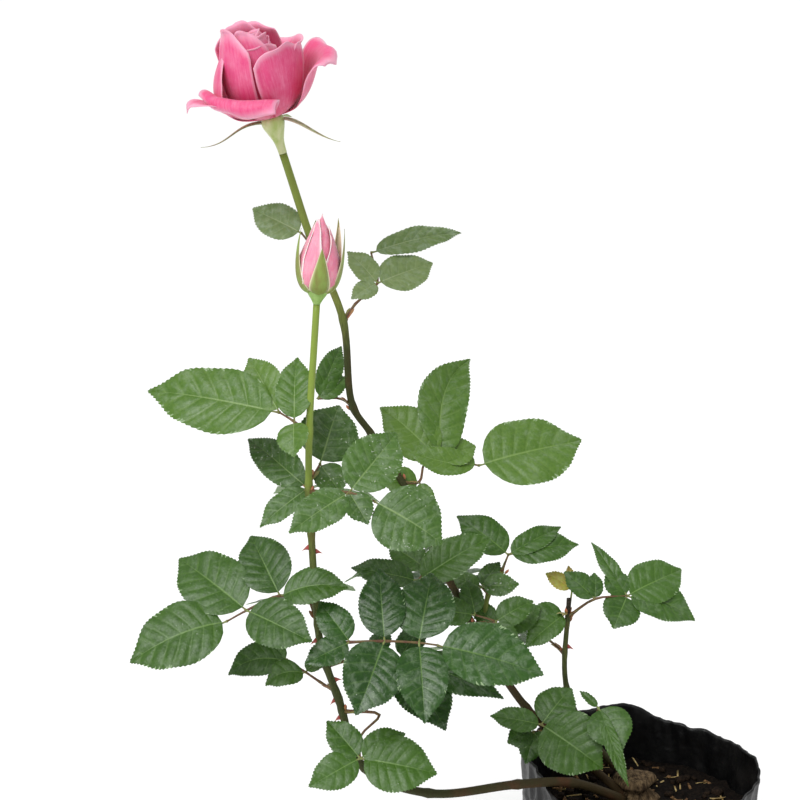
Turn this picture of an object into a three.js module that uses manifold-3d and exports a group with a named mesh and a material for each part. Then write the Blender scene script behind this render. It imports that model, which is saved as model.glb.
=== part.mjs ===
// A young hybrid tea rose in a black polythene grow bag, in millimetres, +Z up.
// The origin is the centre of the bag's flat underside, where it stands on the ground.
//
// Directions: a heading is an angle in plan from +X towards +Y, and a rise is an angle above level.
// A compound leaf lies in one plane. Its face [turn, tilt] is the way the upper surface looks: turned
// from -Y towards +X, and tilted up from level. Bearings on a leaf are measured on that face, from
// its level line, anticlockwise as seen from above the leaf.
import * as THREE from 'three';
import Module from 'manifold-3d';

const wasm = await Module();
wasm.setup();

// ---------------------------------------------------------------- driving dimensions

const TOUCH_GAP = 0.3; // clear space between two parts that meet
const SLIVER = 0.01; // edges shorter than this are closed up

const BAG = {
  footRadius: 70,
  rimRadius: 79,
  rimHeight: 174,
  filmThickness: 1.6,
  floorThickness: 2,
  rimSwell: 8, // the rim stands higher at the back left
  rimSwellHeading: 130,
  sides: 30,
  levels: [0, 0.12, 0.35, 0.6, 0.82, 1],
};
const SOIL = { height: 146, dome: 3, rings: [1, 0.66, 0.33], filledLevels: 4 };

const CROWN = { radius: 17, neck: 10, height: 21, sides: 12 };

// Each cane is a walk from its start on the crown: [length, heading, rise] of each internode. Its radii
// are at even steps from the foot to the tip.
const CANES = {
  flower: {
    start: [-8, -1, 150],
    internodes: [
      [47, 172, 40], [45, 168, 42], [55, 169, 56], [64, 180, 63], [58, -170, 66],
      [43, -170, 59], [22, -169, 58], [57, -164, 84], [51, -171, 69], [62, -158, 72],
    ],
    radii: [3, 2.1, 2.5],
    parts: { flower_cane_foot: [0, 2], flower_cane: [2, 10] },
    prickles: [[250, -20], [150, 70]],
  },
  bud: {
    start: [-11, -8, 152],
    internodes: [
      [50, -149, 28], [41, -155, 10], [62, -160, 4], [47, -166, 28], [48, 168, 70], [34, 170, 72],
      [33, 163, 84], [42, 180, 87], [30, 180, 88], [35, 0, 89], [77, 10, 86],
    ],
    radii: [3.2, 2.3, 2.1],
    parts: { bud_cane_foot: [0, 4], bud_cane: [4, 11] },
    prickles: [[347, 10], [350, 190], [290, 200], [262, 10], [250, 200], [238, 185], [165, 80]],
  },
  short: {
    start: [3, 10, 150],
    internodes: [[45, 159, 41], [42, 157, 61], [65, 0, 90]],
    radii: [3.2, 2, 1.6],
    parts: { pruned_cane: [0, 3] },
    prickles: [[118, -10], [70, 190]],
  },
  side: {
    start: [-97, 17, 238],
    internodes: [[30, 150, 74], [20, 62, 77], [18, 24, 56]],
    radii: [2, 1.5],
    parts: { side_shoot: [0, 3] },
    prickles: [],
  },
};
const CANE_SIDES = 6;
const STEPS_PER_INTERNODE = 3;
const PRICKLE = { length: 5.2, root: 1.8, droop: 25 };

// The leaves that are placed one by one. Each row: the cane and the distance up it in millimetres,
// the stem as [length, heading, rise], the face, the rachis as [length, bearing] of each joint, and
// the leaflets as [joint, length, bearing, breadth, roll, bow], where joint 0 is the end of the stem
// and the bow is how far the middle of the midrib stands to the left, as a share of the length.
const PLACED_LEAVES = [
  { name: 'crest_leaf', cane: 'flower', at: 440, stem: [14, -160, 52], face: [-15, 40], rachis: [],
    leaflets: [[0, 40, 155, 0.62]] },
  { name: 'upper_right_leaf', cane: 'flower', at: 389, stem: [15, 40, 50], face: [25, 40],
    rachis: [[24, 35], [23, 85]],
    leaflets: [[1, 24, -155, 0.6], [1, 29, 120, 0.7], [1, 45, 15, 0.62], [2, 70, 8, 0.27]] },
  { name: 'behind_bud_leaf', cane: 'flower', at: 332, stem: [10, 180, 40], face: [15, 40],
    rachis: [[16, 175]], leaflets: [[1, 43, 60, 0.4], [1, 26, 34, 0.6]] },
  { name: 'upper_left_leaf', cane: 'bud', at: 421, stem: [14, -145, 42], face: [-20, 40],
    rachis: [[12, 155]],
    leaflets: [[0, 44, 102, 0.54], [0, 24, -75, 0.9], [1, 46, 131, 0.55], [1, 91, 176, 0.48]] },
  { name: 'bud_node_leaf', cane: 'bud', at: 390, stem: [17, 65, 30], face: [10, 35], rachis: [],
    leaflets: [[0, 24, -62, 0.9], [0, 41, 68, 0.95]] },
  { name: 'bud_right_leaf', cane: 'bud', at: 385, stem: [33, -40, 10], face: [10, 45],
    rachis: [[16, -25]],
    leaflets: [[0, 52, 50], [0, 46, -147, 0.55], [0, 24, -68, 0.8], [1, 48, -40, 0.92]] },
  { name: 'bud_left_leaf', cane: 'bud', at: 384, stem: [6, 100, 15], face: [-25, 45], rachis: [],
    leaflets: [[0, 60, 152, 0.4], [0, 38, -125, 0.5]] },
  { name: 'right_fork_leaf', cane: 'flower', at: 272, stem: [12, 20, -5], face: [15, 40],
    rachis: [[14, 65], [11, 15], [27, -15]],
    leaflets: [
      [0, 26, 174, 0.8], [0, 23, -75, 0.5], [2, 81, 64, 0.44, 0, 0.12], [2, 53, 130],
      [2, 28, 15, 0.8], [3, 52, 160, 0.4, 0, 0.09], [3, 77, 10, 0.68],
    ] },
  { name: 'low_left_leaf', cane: 'bud', at: 314, stem: [24, -160, 17], face: [-15, 50],
    rachis: [[22, -146], [13, -140]],
    leaflets: [
      [0, 50, 126], [0, 43, 13, 0.6, 0, 0.08], [1, 62, 149], [1, 49, -20],
      [2, 64, -147, 0.68, 0, -0.05],
    ] },
  { name: 'foot_left_leaf', cane: 'bud', at: 254, stem: [16, 130, 5], face: [-10, 45],
    rachis: [[12, 150], [15, 150]],
    leaflets: [
      [1, 27, -155, 0.7, 0, -0.14], [1, 20, 50], [2, 39, -160, 0.6, 0, -0.12], [2, 22, 150],
    ] },
  { name: 'middle_right_leaf', cane: 'bud', at: 286, stem: [31, -50, 20], face: [5, 45],
    rachis: [[21, 0], [21, -5], [11, -10]],
    leaflets: [
      [0, 33, 122], [0, 31, -155], [1, 49, 90, 0.6], [1, 51, -113, 0.74], [2, 48, 77, 0.8],
      [2, 52, -90, 0.62], [3, 67, -19, 0.66],
    ] },
  { name: 'middle_back_leaf', cane: 'flower', at: 216, stem: [25, -105, -5], face: [-5, 45],
    rachis: [[10, -125]], leaflets: [[0, 33, 145], [1, 45, 170, 0.45], [1, 58, 35, 0.5]] },
  { name: 'fork_top_leaf', cane: 'side', at: 67, stem: [14, -20, 70], face: [10, 45], rachis: [],
    leaflets: [[0, 44, 135], [0, 50, 5, 0.5], [0, 44, 25, 0.4]] },
  { name: 'fork_side_leaf', cane: 'side', at: 50, stem: [9, -145, 45], face: [0, 45], rachis: [],
    leaflets: [[0, 23, 160], [0, 26, 5], [0, 23, 55], [0, 24, -130, 0.5]] },
  { name: 'fork_low_leaf', cane: 'side', at: 32, stem: [10, -35, -10], face: [0, 45], rachis: [],
    leaflets: [[0, 33, 25, 0.72], [0, 26, 135]] },
  { name: 'pruned_left_leaf', cane: 'short', at: 142, stem: [4, -125, 10], face: [0, 45],
    rachis: [], leaflets: [[0, 28, -160, 0.9], [0, 38, -138, 0.5]] },
  { name: 'pruned_right_leaf', cane: 'short', at: 139, stem: [25, -25, 40], face: [15, 45],
    rachis: [[23, 0]],
    leaflets: [
      [0, 28, 128, 0.75], [0, 20, 78, 0.6], [1, 28, -125, 0.95], [1, 45, 110, 0.3],
      [1, 22, 120, 0.9], [1, 47, 20, 0.7], [1, 49, -28, 0.66, 0, 0.08],
    ] },
  { name: 'low_right_leaf', cane: 'short', at: 62, stem: [43, -135, 15], face: [0, 45], rachis: [],
    leaflets: [[0, 35, 170, 0.5], [0, 34, 50, 0.85], [0, 50, -38, 0.9]] },
  { name: 'rim_leaf', cane: 'short', at: 49, stem: [46, -88, 50], face: [0, 45], rachis: [],
    leaflets: [[0, 33, -64, 0.95], [0, 17, 135, 0.4], [0, 57, -73, 0.2]] },
  { name: 'bottom_leaf', cane: 'bud', at: 241, stem: [26, -25, 5], face: [0, 45],
    rachis: [[18, -130], [14, -90]],
    leaflets: [[2, 32, 131], [2, 32, 30], [2, 36, -150], [2, 48, -12, 0.76]] },
  { name: 'young_shoot', cane: 'short', at: 135, stem: [24, 40, 80], face: [0, 30], rachis: [],
    leaflets: [[0, 21, 150, 0.6], [0, 16, 98, 0.5], [0, 13, 35, 0.5], [0, 12, -20, 0.4]] },
  { name: 'under_middle_leaf', cane: 'bud', at: 272, stem: [30, 20, 5], face: [0, 50],
    rachis: [[18, -5]],
    leaflets: [
      [0, 22, 60], [0, 26, -70], [1, 28, 60], [1, 57, -61, 0.62], [1, 70, -24, 0.36],
    ] },
  { name: 'under_fork_leaf', cane: 'flower', at: 161, stem: [24, -50, 20], face: [0, 45],
    rachis: [[14, 160]], leaflets: [[0, 30, 30], [0, 26, -60], [1, 26, 100], [1, 36, 175]] },
  { name: 'rim_left_leaf', cane: 'flower', at: 66, stem: [15, -165, 16], face: [0, 45], rachis: [],
    leaflets: [[0, 20, -155, 0.9], [0, 22, -60], [0, 24, -105, 0.7]] },
];

// The leaves that follow the bush's own rule, mostly on its far side: the cane and the distance up
// it, the heading, the droop below level, the pairs of leaflets and the end leaflet's length.
const RULED_LEAVES = [
  { name: 'far_leaf_1', cane: 'flower', at: 120, heading: 120, droop: 20, pairs: 2, size: 42 },
  { name: 'far_leaf_2', cane: 'flower', at: 172, heading: 105, droop: 10, pairs: 2, size: 44 },
  { name: 'far_leaf_3', cane: 'flower', at: 196, heading: 150, droop: 25, pairs: 1, size: 46 },
  { name: 'far_leaf_4', cane: 'flower', at: 262, heading: 150, droop: 20, pairs: 1, size: 46 },
  { name: 'far_leaf_5', cane: 'short', at: 112, heading: 140, droop: 5, pairs: 1, size: 32 },
  { name: 'far_leaf_6', cane: 'bud', at: 300, heading: 110, droop: 20, pairs: 1, size: 42 },
  { name: 'far_leaf_7', cane: 'bud', at: 368, heading: 75, droop: 25, pairs: 1, size: 40 },
];
const RULE = { stem: 0.55, joint: 0.42, spread: 68, lateral: [0.72, 0.88, 0.94], stemRise: 25 };

const LEAFLET = {
  breadth: 0.66, // of its length
  endBreadth: 0.6,
  thickness: 0.011, // of its length
  stations: [0.28, 0.56, 0.82],
  stalk: 0.06, // of its length, bare before the blade opens
  stalkRadius: 0.7,
  rootSink: 1.2,
  fold: [8, 10], // each half rises from the midrib, in degrees: least, and how much more
  curl: [0.25, 0.3], // half of the bend from base to tip, in radians
  sway: 8, // how far a leaflet rolls off the leaf's plane, in degrees
};
const RACHIS = { radius: 1.1, tipRadius: 0.85, sides: 3 };

// The bloom stands on the tip of the flower cane. Radii and heights are in its own frame.
const BLOOM = {
  hip: [[2.2, 0], [3.2, 8], [5.4, 14], [7.2, 20], [6.6, 24]],
  heart: [[6.6, 23], [13, 29], [17, 38], [17.5, 50], [15, 62], [11, 71], [5, 76]],
  petalBase: [5, 25.5],
  petalThickness: 1.4,
  sides: 12,
  // [azimuth, half width, belly radius, tip radius, tip height]; azimuth 0 is to the right
  petals: [
    [-50, 21, 26, 29, 66], [-5, 24, 35, 47, 59], [40, 22, 26, 33, 69], [95, 24, 23, 22, 77],
    [130, 22, 20, 13, 80], [180, 24, 28, 24, 60], [-150, 21, 36, 50, 45], [-140, 19, 22, 12, 79],
    [-95, 17, 19, 13, 80], [-120, 18, 25, 28, 36],
  ],
  // [azimuth, radius of the tip, height of the tip]
  sepals: [[180, 48, 17], [-8, 38, -1], [50, 36, 8], [95, 34, 12], [140, 38, 6]],
};

const BUD = {
  hip: [[2.1, 0], [3.4, 2.5], [5.4, 5.5], [6.6, 8], [6.9, 9.5]],
  heart: [[6.8, 9], [11, 13], [12.5, 19], [11.5, 28], [7.8, 38], [3.2, 48]],
  tipHeight: 54,
  sides: 12,
  // [azimuth, radius of the tip, height of the tip]
  sepals: [[-82, 11, 35], [-5, 13.5, 46], [40, 12, 51], [115, 9, 49], [-165, 12, 45]],
};

const FINISH = {
  leaf: { color: 0x3f6b35, roughness: 0.5 },
  cane: { color: 0x4d5b2c, roughness: 0.6 },
  crown: { color: 0x6b5136, roughness: 0.9 },
  petal: { color: 0xe8658f, roughness: 0.55 },
  bag: { color: 0x17161a, roughness: 0.4 },
  soil: { color: 0x2b211a, roughness: 1 },
};

// ---------------------------------------------------------------- small maths

const rad = THREE.MathUtils.degToRad;
const v3 = (x, y, z) => new THREE.Vector3(x, y, z);

/** A repeatable value from 0 to 1 for one leaflet and one of its features. */
function chance(a, b, c) {
  const s = Math.sin(a * 12.9898 + b * 78.233 + c * 37.719) * 43758.5453;
  return s - Math.floor(s);
}

/** The vector of a length, a heading in plan and a rise above level. */
function reach([length, heading, rise]) {
  const [h, r] = [rad(heading), rad(rise)];
  return v3(Math.cos(r) * Math.cos(h), Math.cos(r) * Math.sin(h), Math.sin(r)).multiplyScalar(length);
}

/** The point at distance `at` along a line of points, with the direction there. */
function alongLine(points, at) {
  let left = at;
  for (let i = 1; i < points.length; i++) {
    const step = points[i].clone().sub(points[i - 1]);
    const length = step.length();
    if (left <= length || i === points.length - 1) {
      const direction = step.normalize();
      return { point: points[i - 1].clone().addScaledVector(direction, left), direction };
    }
    left -= length;
  }
  return null;
}

/** The length of a line of points up to one of them. */
function lineLength(points, last) {
  return points.slice(1, last + 1).reduce((sum, p, i) => sum + p.distanceTo(points[i]), 0);
}

// ---------------------------------------------------------------- closed solids

/** A closed manifold solid from points and triangles, turned so that its faces look out. */
function solid(points, triangles) {
  let volume = 0;
  for (const [a, b, c] of triangles) {
    volume += points[a].dot(points[b].clone().cross(points[c]));
  }
  const faces = volume < 0 ? triangles.map(([a, b, c]) => [a, c, b]) : triangles;
  const vertProperties = new Float32Array(points.flatMap((p) => [p.x, p.y, p.z]));
  const mesh = new wasm.Mesh({ numProp: 3, vertProperties, triVerts: new Uint32Array(faces.flat()) });
  return new wasm.Manifold(mesh);
}

/** Skins a row of rings of equal count, each end a flat cap or, for a ring of one, a point. */
function skin(rings) {
  const points = rings.flat();
  const count = Math.max(...rings.map((r) => r.length));
  const starts = [];
  rings.reduce((sum, ring) => { starts.push(sum); return sum + ring.length; }, 0);
  const at = (ring, side) => starts[ring] + (side % rings[ring].length);
  const triangles = [];
  for (let ring = 1; ring < rings.length; ring++) {
    for (let side = 0; side < count; side++) {
      const [a, b] = [at(ring - 1, side), at(ring - 1, side + 1)];
      const [c, d] = [at(ring, side), at(ring, side + 1)];
      if (a !== b) triangles.push([a, b, d]);
      if (c !== d) triangles.push([a, d, c]);
    }
  }
  for (let side = 1; side < count - 1; side++) {
    if (rings[0].length > 1) triangles.push([at(0, 0), at(0, side + 1), at(0, side)]);
    const last = rings.length - 1;
    if (rings[last].length > 1) triangles.push([at(last, 0), at(last, side), at(last, side + 1)]);
  }
  return solid(points, triangles);
}

/** Rings of a given radius round a line of points, carried along it without twist. */
function ringsAlong(points, radii, sides) {
  const first = points[1].clone().sub(points[0]).normalize();
  const side = Math.abs(first.z) > 0.9 ? v3(1, 0, 0) : v3(0, 0, 1);
  return points.map((point, i) => {
    const before = points[Math.max(0, i - 1)];
    const after = points[Math.min(points.length - 1, i + 1)];
    const tangent = after.clone().sub(before).normalize();
    side.addScaledVector(tangent, -side.dot(tangent)).normalize();
    const up = tangent.clone().cross(side);
    return Array.from({ length: sides }, (_, k) => {
      const turn = (2 * Math.PI * k) / sides;
      return point.clone()
        .addScaledVector(side, Math.cos(turn) * radii[i])
        .addScaledVector(up, Math.sin(turn) * radii[i]);
    });
  });
}

/** A tapering limb along a line of points. */
function limb(points, radii, sides) {
  return skin(ringsAlong(points, radii, sides));
}

/** Fuses solids into one, without sliver faces, and drops any loose scrap. */
function fuse(solids) {
  const whole = solids.reduce((sum, part) => sum.add(part)).simplify(SLIVER);
  const bodies = whole.decompose();
  return bodies.sort((a, b) => b.volume() - a.volume())[0];
}

/** A named mesh of a solid in a given finish. */
function mesh(name, shape, finish) {
  const { numProp, vertProperties, triVerts } = shape.getMesh();
  const geometry = new THREE.BufferGeometry();
  const positions = new Float32Array((vertProperties.length / numProp) * 3);
  for (let i = 0; i < positions.length; i++) {
    positions[i] = vertProperties[Math.floor(i / 3) * numProp + (i % 3)];
  }
  geometry.setAttribute('position', new THREE.BufferAttribute(positions, 3));
  geometry.setIndex(new THREE.BufferAttribute(new Uint32Array(triVerts), 1));
  geometry.computeVertexNormals();
  const made = new THREE.Mesh(geometry, new THREE.MeshStandardMaterial({ ...finish, metalness: 0 }));
  made.name = name;
  return made;
}

// ---------------------------------------------------------------- bag and soil

/** How far the film stands out of round at a heading, from 0 at the foot to 1 at the rim. */
function crumple(turn, level) {
  return level * (1.6 * Math.sin(5 * turn + 1) + 1.1 * Math.sin(8 * turn + 2.5) + 2 * Math.sin(3 * turn));
}

function bagRadius(turn, level) {
  return THREE.MathUtils.lerp(BAG.footRadius, BAG.rimRadius, Math.sqrt(level)) + crumple(turn, level);
}

function rimHeight(turn) {
  return BAG.rimHeight + BAG.rimSwell * Math.cos(turn - rad(BAG.rimSwellHeading))
    + 4 * Math.sin(4 * turn + 0.87) + 1.2 * Math.sin(9 * turn);
}

function bagRing(level, inset, floor) {
  return Array.from({ length: BAG.sides }, (_, k) => {
    const turn = (2 * Math.PI * k) / BAG.sides;
    const radius = bagRadius(turn, level) - inset;
    const height = THREE.MathUtils.lerp(floor, rimHeight(turn), level);
    return v3(radius * Math.cos(turn), radius * Math.sin(turn), height);
  });
}

function bag() {
  const outer = BAG.levels.map((level) => bagRing(level, 0, 0));
  const inner = BAG.levels.map((level) => bagRing(level, BAG.filmThickness, BAG.floorThickness));
  return skin([...outer, ...inner.reverse()]);
}

/** The soil fills the bag, a hair clear of the film, with its surface a little domed. */
function soil() {
  const inset = BAG.filmThickness + 2 * TOUCH_GAP;
  const edge = SOIL.height - SOIL.dome;
  const wall = BAG.levels.slice(0, SOIL.filledLevels)
    .map((level) => bagRing(level, inset, BAG.floorThickness + TOUCH_GAP));
  const top = SOIL.rings.map((scale) => Array.from({ length: BAG.sides }, (_, k) => {
    const turn = (2 * Math.PI * k) / BAG.sides;
    const radius = (bagRadius(turn, edge / rimHeight(turn)) - inset) * scale;
    const height = edge + (SOIL.dome - TOUCH_GAP) * Math.min(1, 1.6 * (1 - scale));
    return v3(radius * Math.cos(turn), radius * Math.sin(turn), height);
  }));
  return skin([...wall, ...top]);
}

// ---------------------------------------------------------------- canes

/** The line of a cane: its joints, rounded by a curve through them. */
function caneLine({ start, internodes }) {
  const joints = [v3(...start)];
  for (const internode of internodes) joints.push(joints.at(-1).clone().add(reach(internode)));
  return new THREE.CatmullRomCurve3(joints).getPoints(internodes.length * STEPS_PER_INTERNODE);
}

/** Radii along a line of points, through those given at even steps from its foot to its tip. */
function caneRadii(points, radii, swell = 0) {
  return points.map((_, i) => {
    const along = (i / (points.length - 1)) * (radii.length - 1);
    const step = Math.min(Math.floor(along), radii.length - 2);
    return THREE.MathUtils.lerp(radii[step], radii[step + 1], along - step) + swell;
  });
}

/** The root flare and bud union: a flat cut at the soil, a neck and a knuckle the canes leave. */
function crown(swell = 0) {
  const profile = [[CROWN.radius, 0], [CROWN.radius * 0.8, 4], [CROWN.neck, 9],
    [CROWN.radius * 0.86, 14], [CROWN.radius * 0.7, 19], [CROWN.radius * 0.25, CROWN.height]];
  const rings = profile.map(([radius, height]) => Array.from({ length: CROWN.sides }, (_, k) => {
    const turn = (2 * Math.PI * k) / CROWN.sides;
    const reachOut = radius * (1 + 0.12 * Math.sin(3 * turn)) + swell;
    return v3(-3 + reachOut * Math.cos(turn), 2 + reachOut * 0.85 * Math.sin(turn),
      SOIL.height + height + (height ? swell : 0));
  }));
  return skin(rings);
}

function prickle(points, radius, [at, heading]) {
  const { point, direction } = alongLine(points, at);
  const out = reach([1, heading, 0]);
  out.addScaledVector(direction, -out.dot(direction)).normalize();
  const tip = point.clone().addScaledVector(out, radius + PRICKLE.length)
    .addScaledVector(direction, -Math.tan(rad(PRICKLE.droop)) * PRICKLE.length);
  const base = point.clone().addScaledVector(out, radius * 0.4);
  return skin([...ringsAlong([base, tip], [PRICKLE.root, 0], 4).slice(0, 1), [tip]]);
}

/** The stretch of a cane between two joints, with its prickles, clear of the stretch below. */
function caneStretch(line, cane, [from, to]) {
  const radii = caneRadii(line, cane.radii);
  const [first, last] = [from * STEPS_PER_INTERNODE, to * STEPS_PER_INTERNODE];
  const rings = ringsAlong(line, radii, CANE_SIDES).slice(first, last + 1);
  if (from > 0) {
    const step = line[first + 1].clone().sub(line[first]).setLength(TOUCH_GAP);
    rings[0].forEach((point) => point.add(step));
  }
  const [low, high] = [lineLength(line, first), lineLength(line, last)];
  const spines = cane.prickles.filter(([at]) => at > low + PRICKLE.root && at < high - PRICKLE.root);
  return fuse([skin(rings), ...spines.map((row) => prickle(line, radii[last], row))]);
}

// ---------------------------------------------------------------- leaves

/** The plane of a leaf: its normal, its level line and the line straight up it. */
function leafPlane([turn, tilt]) {
  const [t, e] = [rad(turn), rad(tilt)];
  const normal = v3(Math.sin(t) * Math.cos(e), -Math.cos(t) * Math.cos(e), Math.sin(e));
  const level = v3(Math.cos(t), Math.sin(t), 0);
  const upslope = normal.clone().cross(level);
  const along = (bearing) => level.clone().multiplyScalar(Math.cos(rad(bearing)))
    .addScaledVector(upslope, Math.sin(rad(bearing)));
  return { normal, along };
}

/** How wide a leaflet is, from 0 at its base and tip to 1 where it is widest. */
function leafletOutline(u) {
  const drawnOut = 1 - 0.42 * THREE.MathUtils.smoothstep(u, 0.7, 1);
  return (drawnOut * Math.pow(u, 0.5) * Math.pow(1 - u, 0.8)) / 0.4206;
}

/** One leaflet: a thin lens, folded along the midrib and curled towards its tip. */
function leaflet(root, plane, seed, [, length, bearing, breadth, roll = 0, bow = 0]) {
  const sway = roll + LEAFLET.sway * (2 * chance(...seed, 1) - 1);
  const fold = Math.tan(rad(LEAFLET.fold[0] + LEAFLET.fold[1] * chance(...seed, 2)));
  const curl = LEAFLET.curl[0] + LEAFLET.curl[1] * chance(...seed, 3);
  const forward = plane.along(bearing);
  const up = plane.normal.clone().applyAxisAngle(forward, rad(sway));
  const across = up.clone().cross(forward);
  const place = (x, y, z) => root.clone().addScaledVector(forward, x)
    .addScaledVector(across, y).addScaledVector(up, z);
  const half = (length * breadth) / 2;
  const thick = length * LEAFLET.thickness;
  const midrib = (u) => [
    (length * Math.sin(curl * u)) / Math.sin(curl),
    (length * (Math.cos(curl * u) - 1 + u * (1 - Math.cos(curl)))) / curl,
  ];
  const rings = LEAFLET.stations.map((u) => {
    const [x, z] = midrib(u);
    const y = half * leafletOutline(u);
    const mid = 4 * bow * length * u * (1 - u);
    return [place(x, mid + y, z + y * fold), place(x, mid, z + thick), place(x, mid - y, z + y * fold),
      place(x, mid, z - thick)];
  });
  const r = LEAFLET.stalkRadius;
  const neck = length * LEAFLET.stalk;
  const stalk = [place(neck, r, 0), place(neck, 0, r), place(neck, -r, 0), place(neck, 0, -r)];
  const [tipX, tipZ] = midrib(1);
  return skin([[place(-LEAFLET.rootSink, 0, 0)], stalk, ...rings, [place(tipX, 0, tipZ)]]);
}

/** A row in the placed form, worked out by the bush's rule for its own leaves. */
function ruledLeaf({ name, cane, at, heading, droop, pairs, size }) {
  const rachis = Array.from({ length: pairs }, () => [RULE.joint * size, -90]);
  const leaflets = [];
  for (let joint = 0; joint < pairs; joint++) {
    const length = size * RULE.lateral[joint + RULE.lateral.length - pairs];
    leaflets.push([joint, length, -90 + RULE.spread], [joint, length, -90 - RULE.spread]);
  }
  leaflets.push([pairs, size, -90]);
  const stem = [RULE.stem * size, heading, RULE.stemRise];
  return { name, cane, at, stem, face: [heading + 90, 90 - droop], rachis, leaflets };
}

/** A compound leaf: stem and rachis with its leaflets fused on, cut clear of its cane. */
function compoundLeaf(row, index, lines) {
  const plane = leafPlane(row.face);
  const joints = [alongLine(lines[row.cane], row.at).point];
  joints.push(joints[0].clone().add(reach(row.stem)));
  for (const [length, bearing] of row.rachis) {
    joints.push(joints.at(-1).clone().addScaledVector(plane.along(bearing), length));
  }
  const radii = joints.map((_, i) => (i < 2 ? RACHIS.radius : RACHIS.tipRadius));
  const parts = [limb(joints, radii, RACHIS.sides)];
  row.leaflets.forEach((spec, k) => {
    const [joint, length, bearing, breadth, ...lie] = spec;
    const usual = joint === row.rachis.length && k === row.leaflets.length - 1
      ? LEAFLET.endBreadth : LEAFLET.breadth;
    const full = [joint, length, bearing, breadth ?? usual, ...lie];
    parts.push(leaflet(joints[joint + 1], plane, [index, k], full));
  });
  return parts;
}

// ---------------------------------------------------------------- bloom and bud

/** The frame of a flower on the tip of a cane: its axis, its right and its far side. */
function flowerFrame(line) {
  const axis = line.at(-1).clone().sub(line.at(-2)).normalize();
  const right = v3(1, 0, 0).addScaledVector(axis, -axis.x).normalize();
  const far = axis.clone().cross(right);
  const origin = line.at(-1).clone().addScaledVector(axis, TOUCH_GAP);
  return (radius, azimuth, height) => origin.clone()
    .addScaledVector(axis, height)
    .addScaledVector(right, radius * Math.cos(rad(azimuth)))
    .addScaledVector(far, radius * Math.sin(rad(azimuth)));
}

/** A round body of a [radius, height] profile, turned by a share of one of its sides. */
function turned(place, profile, sides, turn = 0) {
  return skin(profile.map(([radius, height]) => Array.from({ length: radius ? sides : 1 },
    (_, k) => place(radius, (360 * (k + turn)) / sides, height))));
}

/** A point on a cubic curve of [radius, height] pairs. */
function bezier([a, b, c, d], u) {
  const w = 1 - u;
  const mix = (i) => w ** 3 * a[i] + 3 * w * w * u * b[i] + 3 * w * u * u * c[i] + u ** 3 * d[i];
  return [mix(0), mix(1)];
}

/** A petal: a thick shell that leaves the hip, bellies out and ends upright or rolled back. */
function petal(place, [azimuth, halfWidth, belly, tipRadius, tipHeight]) {
  const [baseRadius, baseHeight] = BLOOM.petalBase;
  const rise = tipHeight - baseHeight;
  const curve = [[baseRadius, baseHeight], [belly * 1.05, baseHeight + 0.1 * rise],
    [belly, baseHeight + 0.8 * rise], [tipRadius, tipHeight]];
  const [lengths, widths] = [[0, 0.35, 0.7, 1], [-1, -0.4, 0.4, 1]];
  const side = (inset) => lengths.map((u) => widths.map((w) => {
    const reachUp = u * (1 - 0.2 * Math.abs(w) ** 2.5);
    const [radius, height] = bezier(curve, reachUp);
    const half = halfWidth * (0.3 + 0.7 * Math.sin((Math.PI / 2) * Math.min(1, u * 1.25)));
    const swing = ((w * half) / Math.max(radius, belly * 0.8)) * (180 / Math.PI);
    return place(radius - inset, azimuth + swing, height);
  }));
  const [outer, inner] = [side(0), side(BLOOM.petalThickness)];
  return skin(outer.map((row, i) => [...row, ...inner[i].reverse()]));
}

/** A sepal: a narrow blade along a curve, 4 points to a ring, ending in a point. */
function sepal(place, azimuth, curve, halfWidth, thickness) {
  const rings = [0, 0.3, 0.6, 0.85].map((u) => {
    const [radius, height] = bezier(curve, u);
    const swing = ((halfWidth * Math.sin(Math.PI * (0.25 + 0.72 * u))) / Math.max(radius, 6)) * 57.3;
    return [place(radius, azimuth + swing, height), place(radius + thickness, azimuth, height + 0.3),
      place(radius, azimuth - swing, height), place(radius - thickness, azimuth, height - 0.3)];
  });
  const [radius, height] = bezier(curve, 1);
  return skin([...rings, [place(radius, azimuth, height)]]);
}

function bloom(line) {
  const place = flowerFrame(line);
  const parts = [turned(place, BLOOM.hip, BLOOM.sides), turned(place, BLOOM.heart, BLOOM.sides)];
  for (const row of BLOOM.petals) parts.push(petal(place, row));
  for (const [azimuth, tipRadius, tipHeight] of BLOOM.sepals) {
    const curve = [[4, 21], [13, 23], [tipRadius * 0.55, 13 + tipHeight * 0.4], [tipRadius, tipHeight]];
    parts.push(sepal(place, azimuth, curve, 3, 0.7));
  }
  return fuse(parts);
}

function bud(line) {
  const place = flowerFrame(line);
  const parts = [turned(place, BUD.hip, BUD.sides),
    turned(place, [...BUD.heart, [0, BUD.tipHeight]], BUD.sides, 0.4)];
  for (const [azimuth, tipRadius, tipHeight] of BUD.sepals) {
    const curve = [[5.5, 8], [15, 11], [14.5, 0.7 * tipHeight], [tipRadius, tipHeight]];
    parts.push(sepal(place, azimuth, curve, 6.5, 0.8));
  }
  return fuse(parts);
}

// ---------------------------------------------------------------- assembly

const rose = new THREE.Group();
rose.name = 'potted_rose_bush';
rose.add(mesh('grow_bag', bag(), FINISH.bag));
rose.add(mesh('potting_soil', soil(), FINISH.soil));
rose.add(mesh('root_crown', crown(), FINISH.crown));

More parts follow.
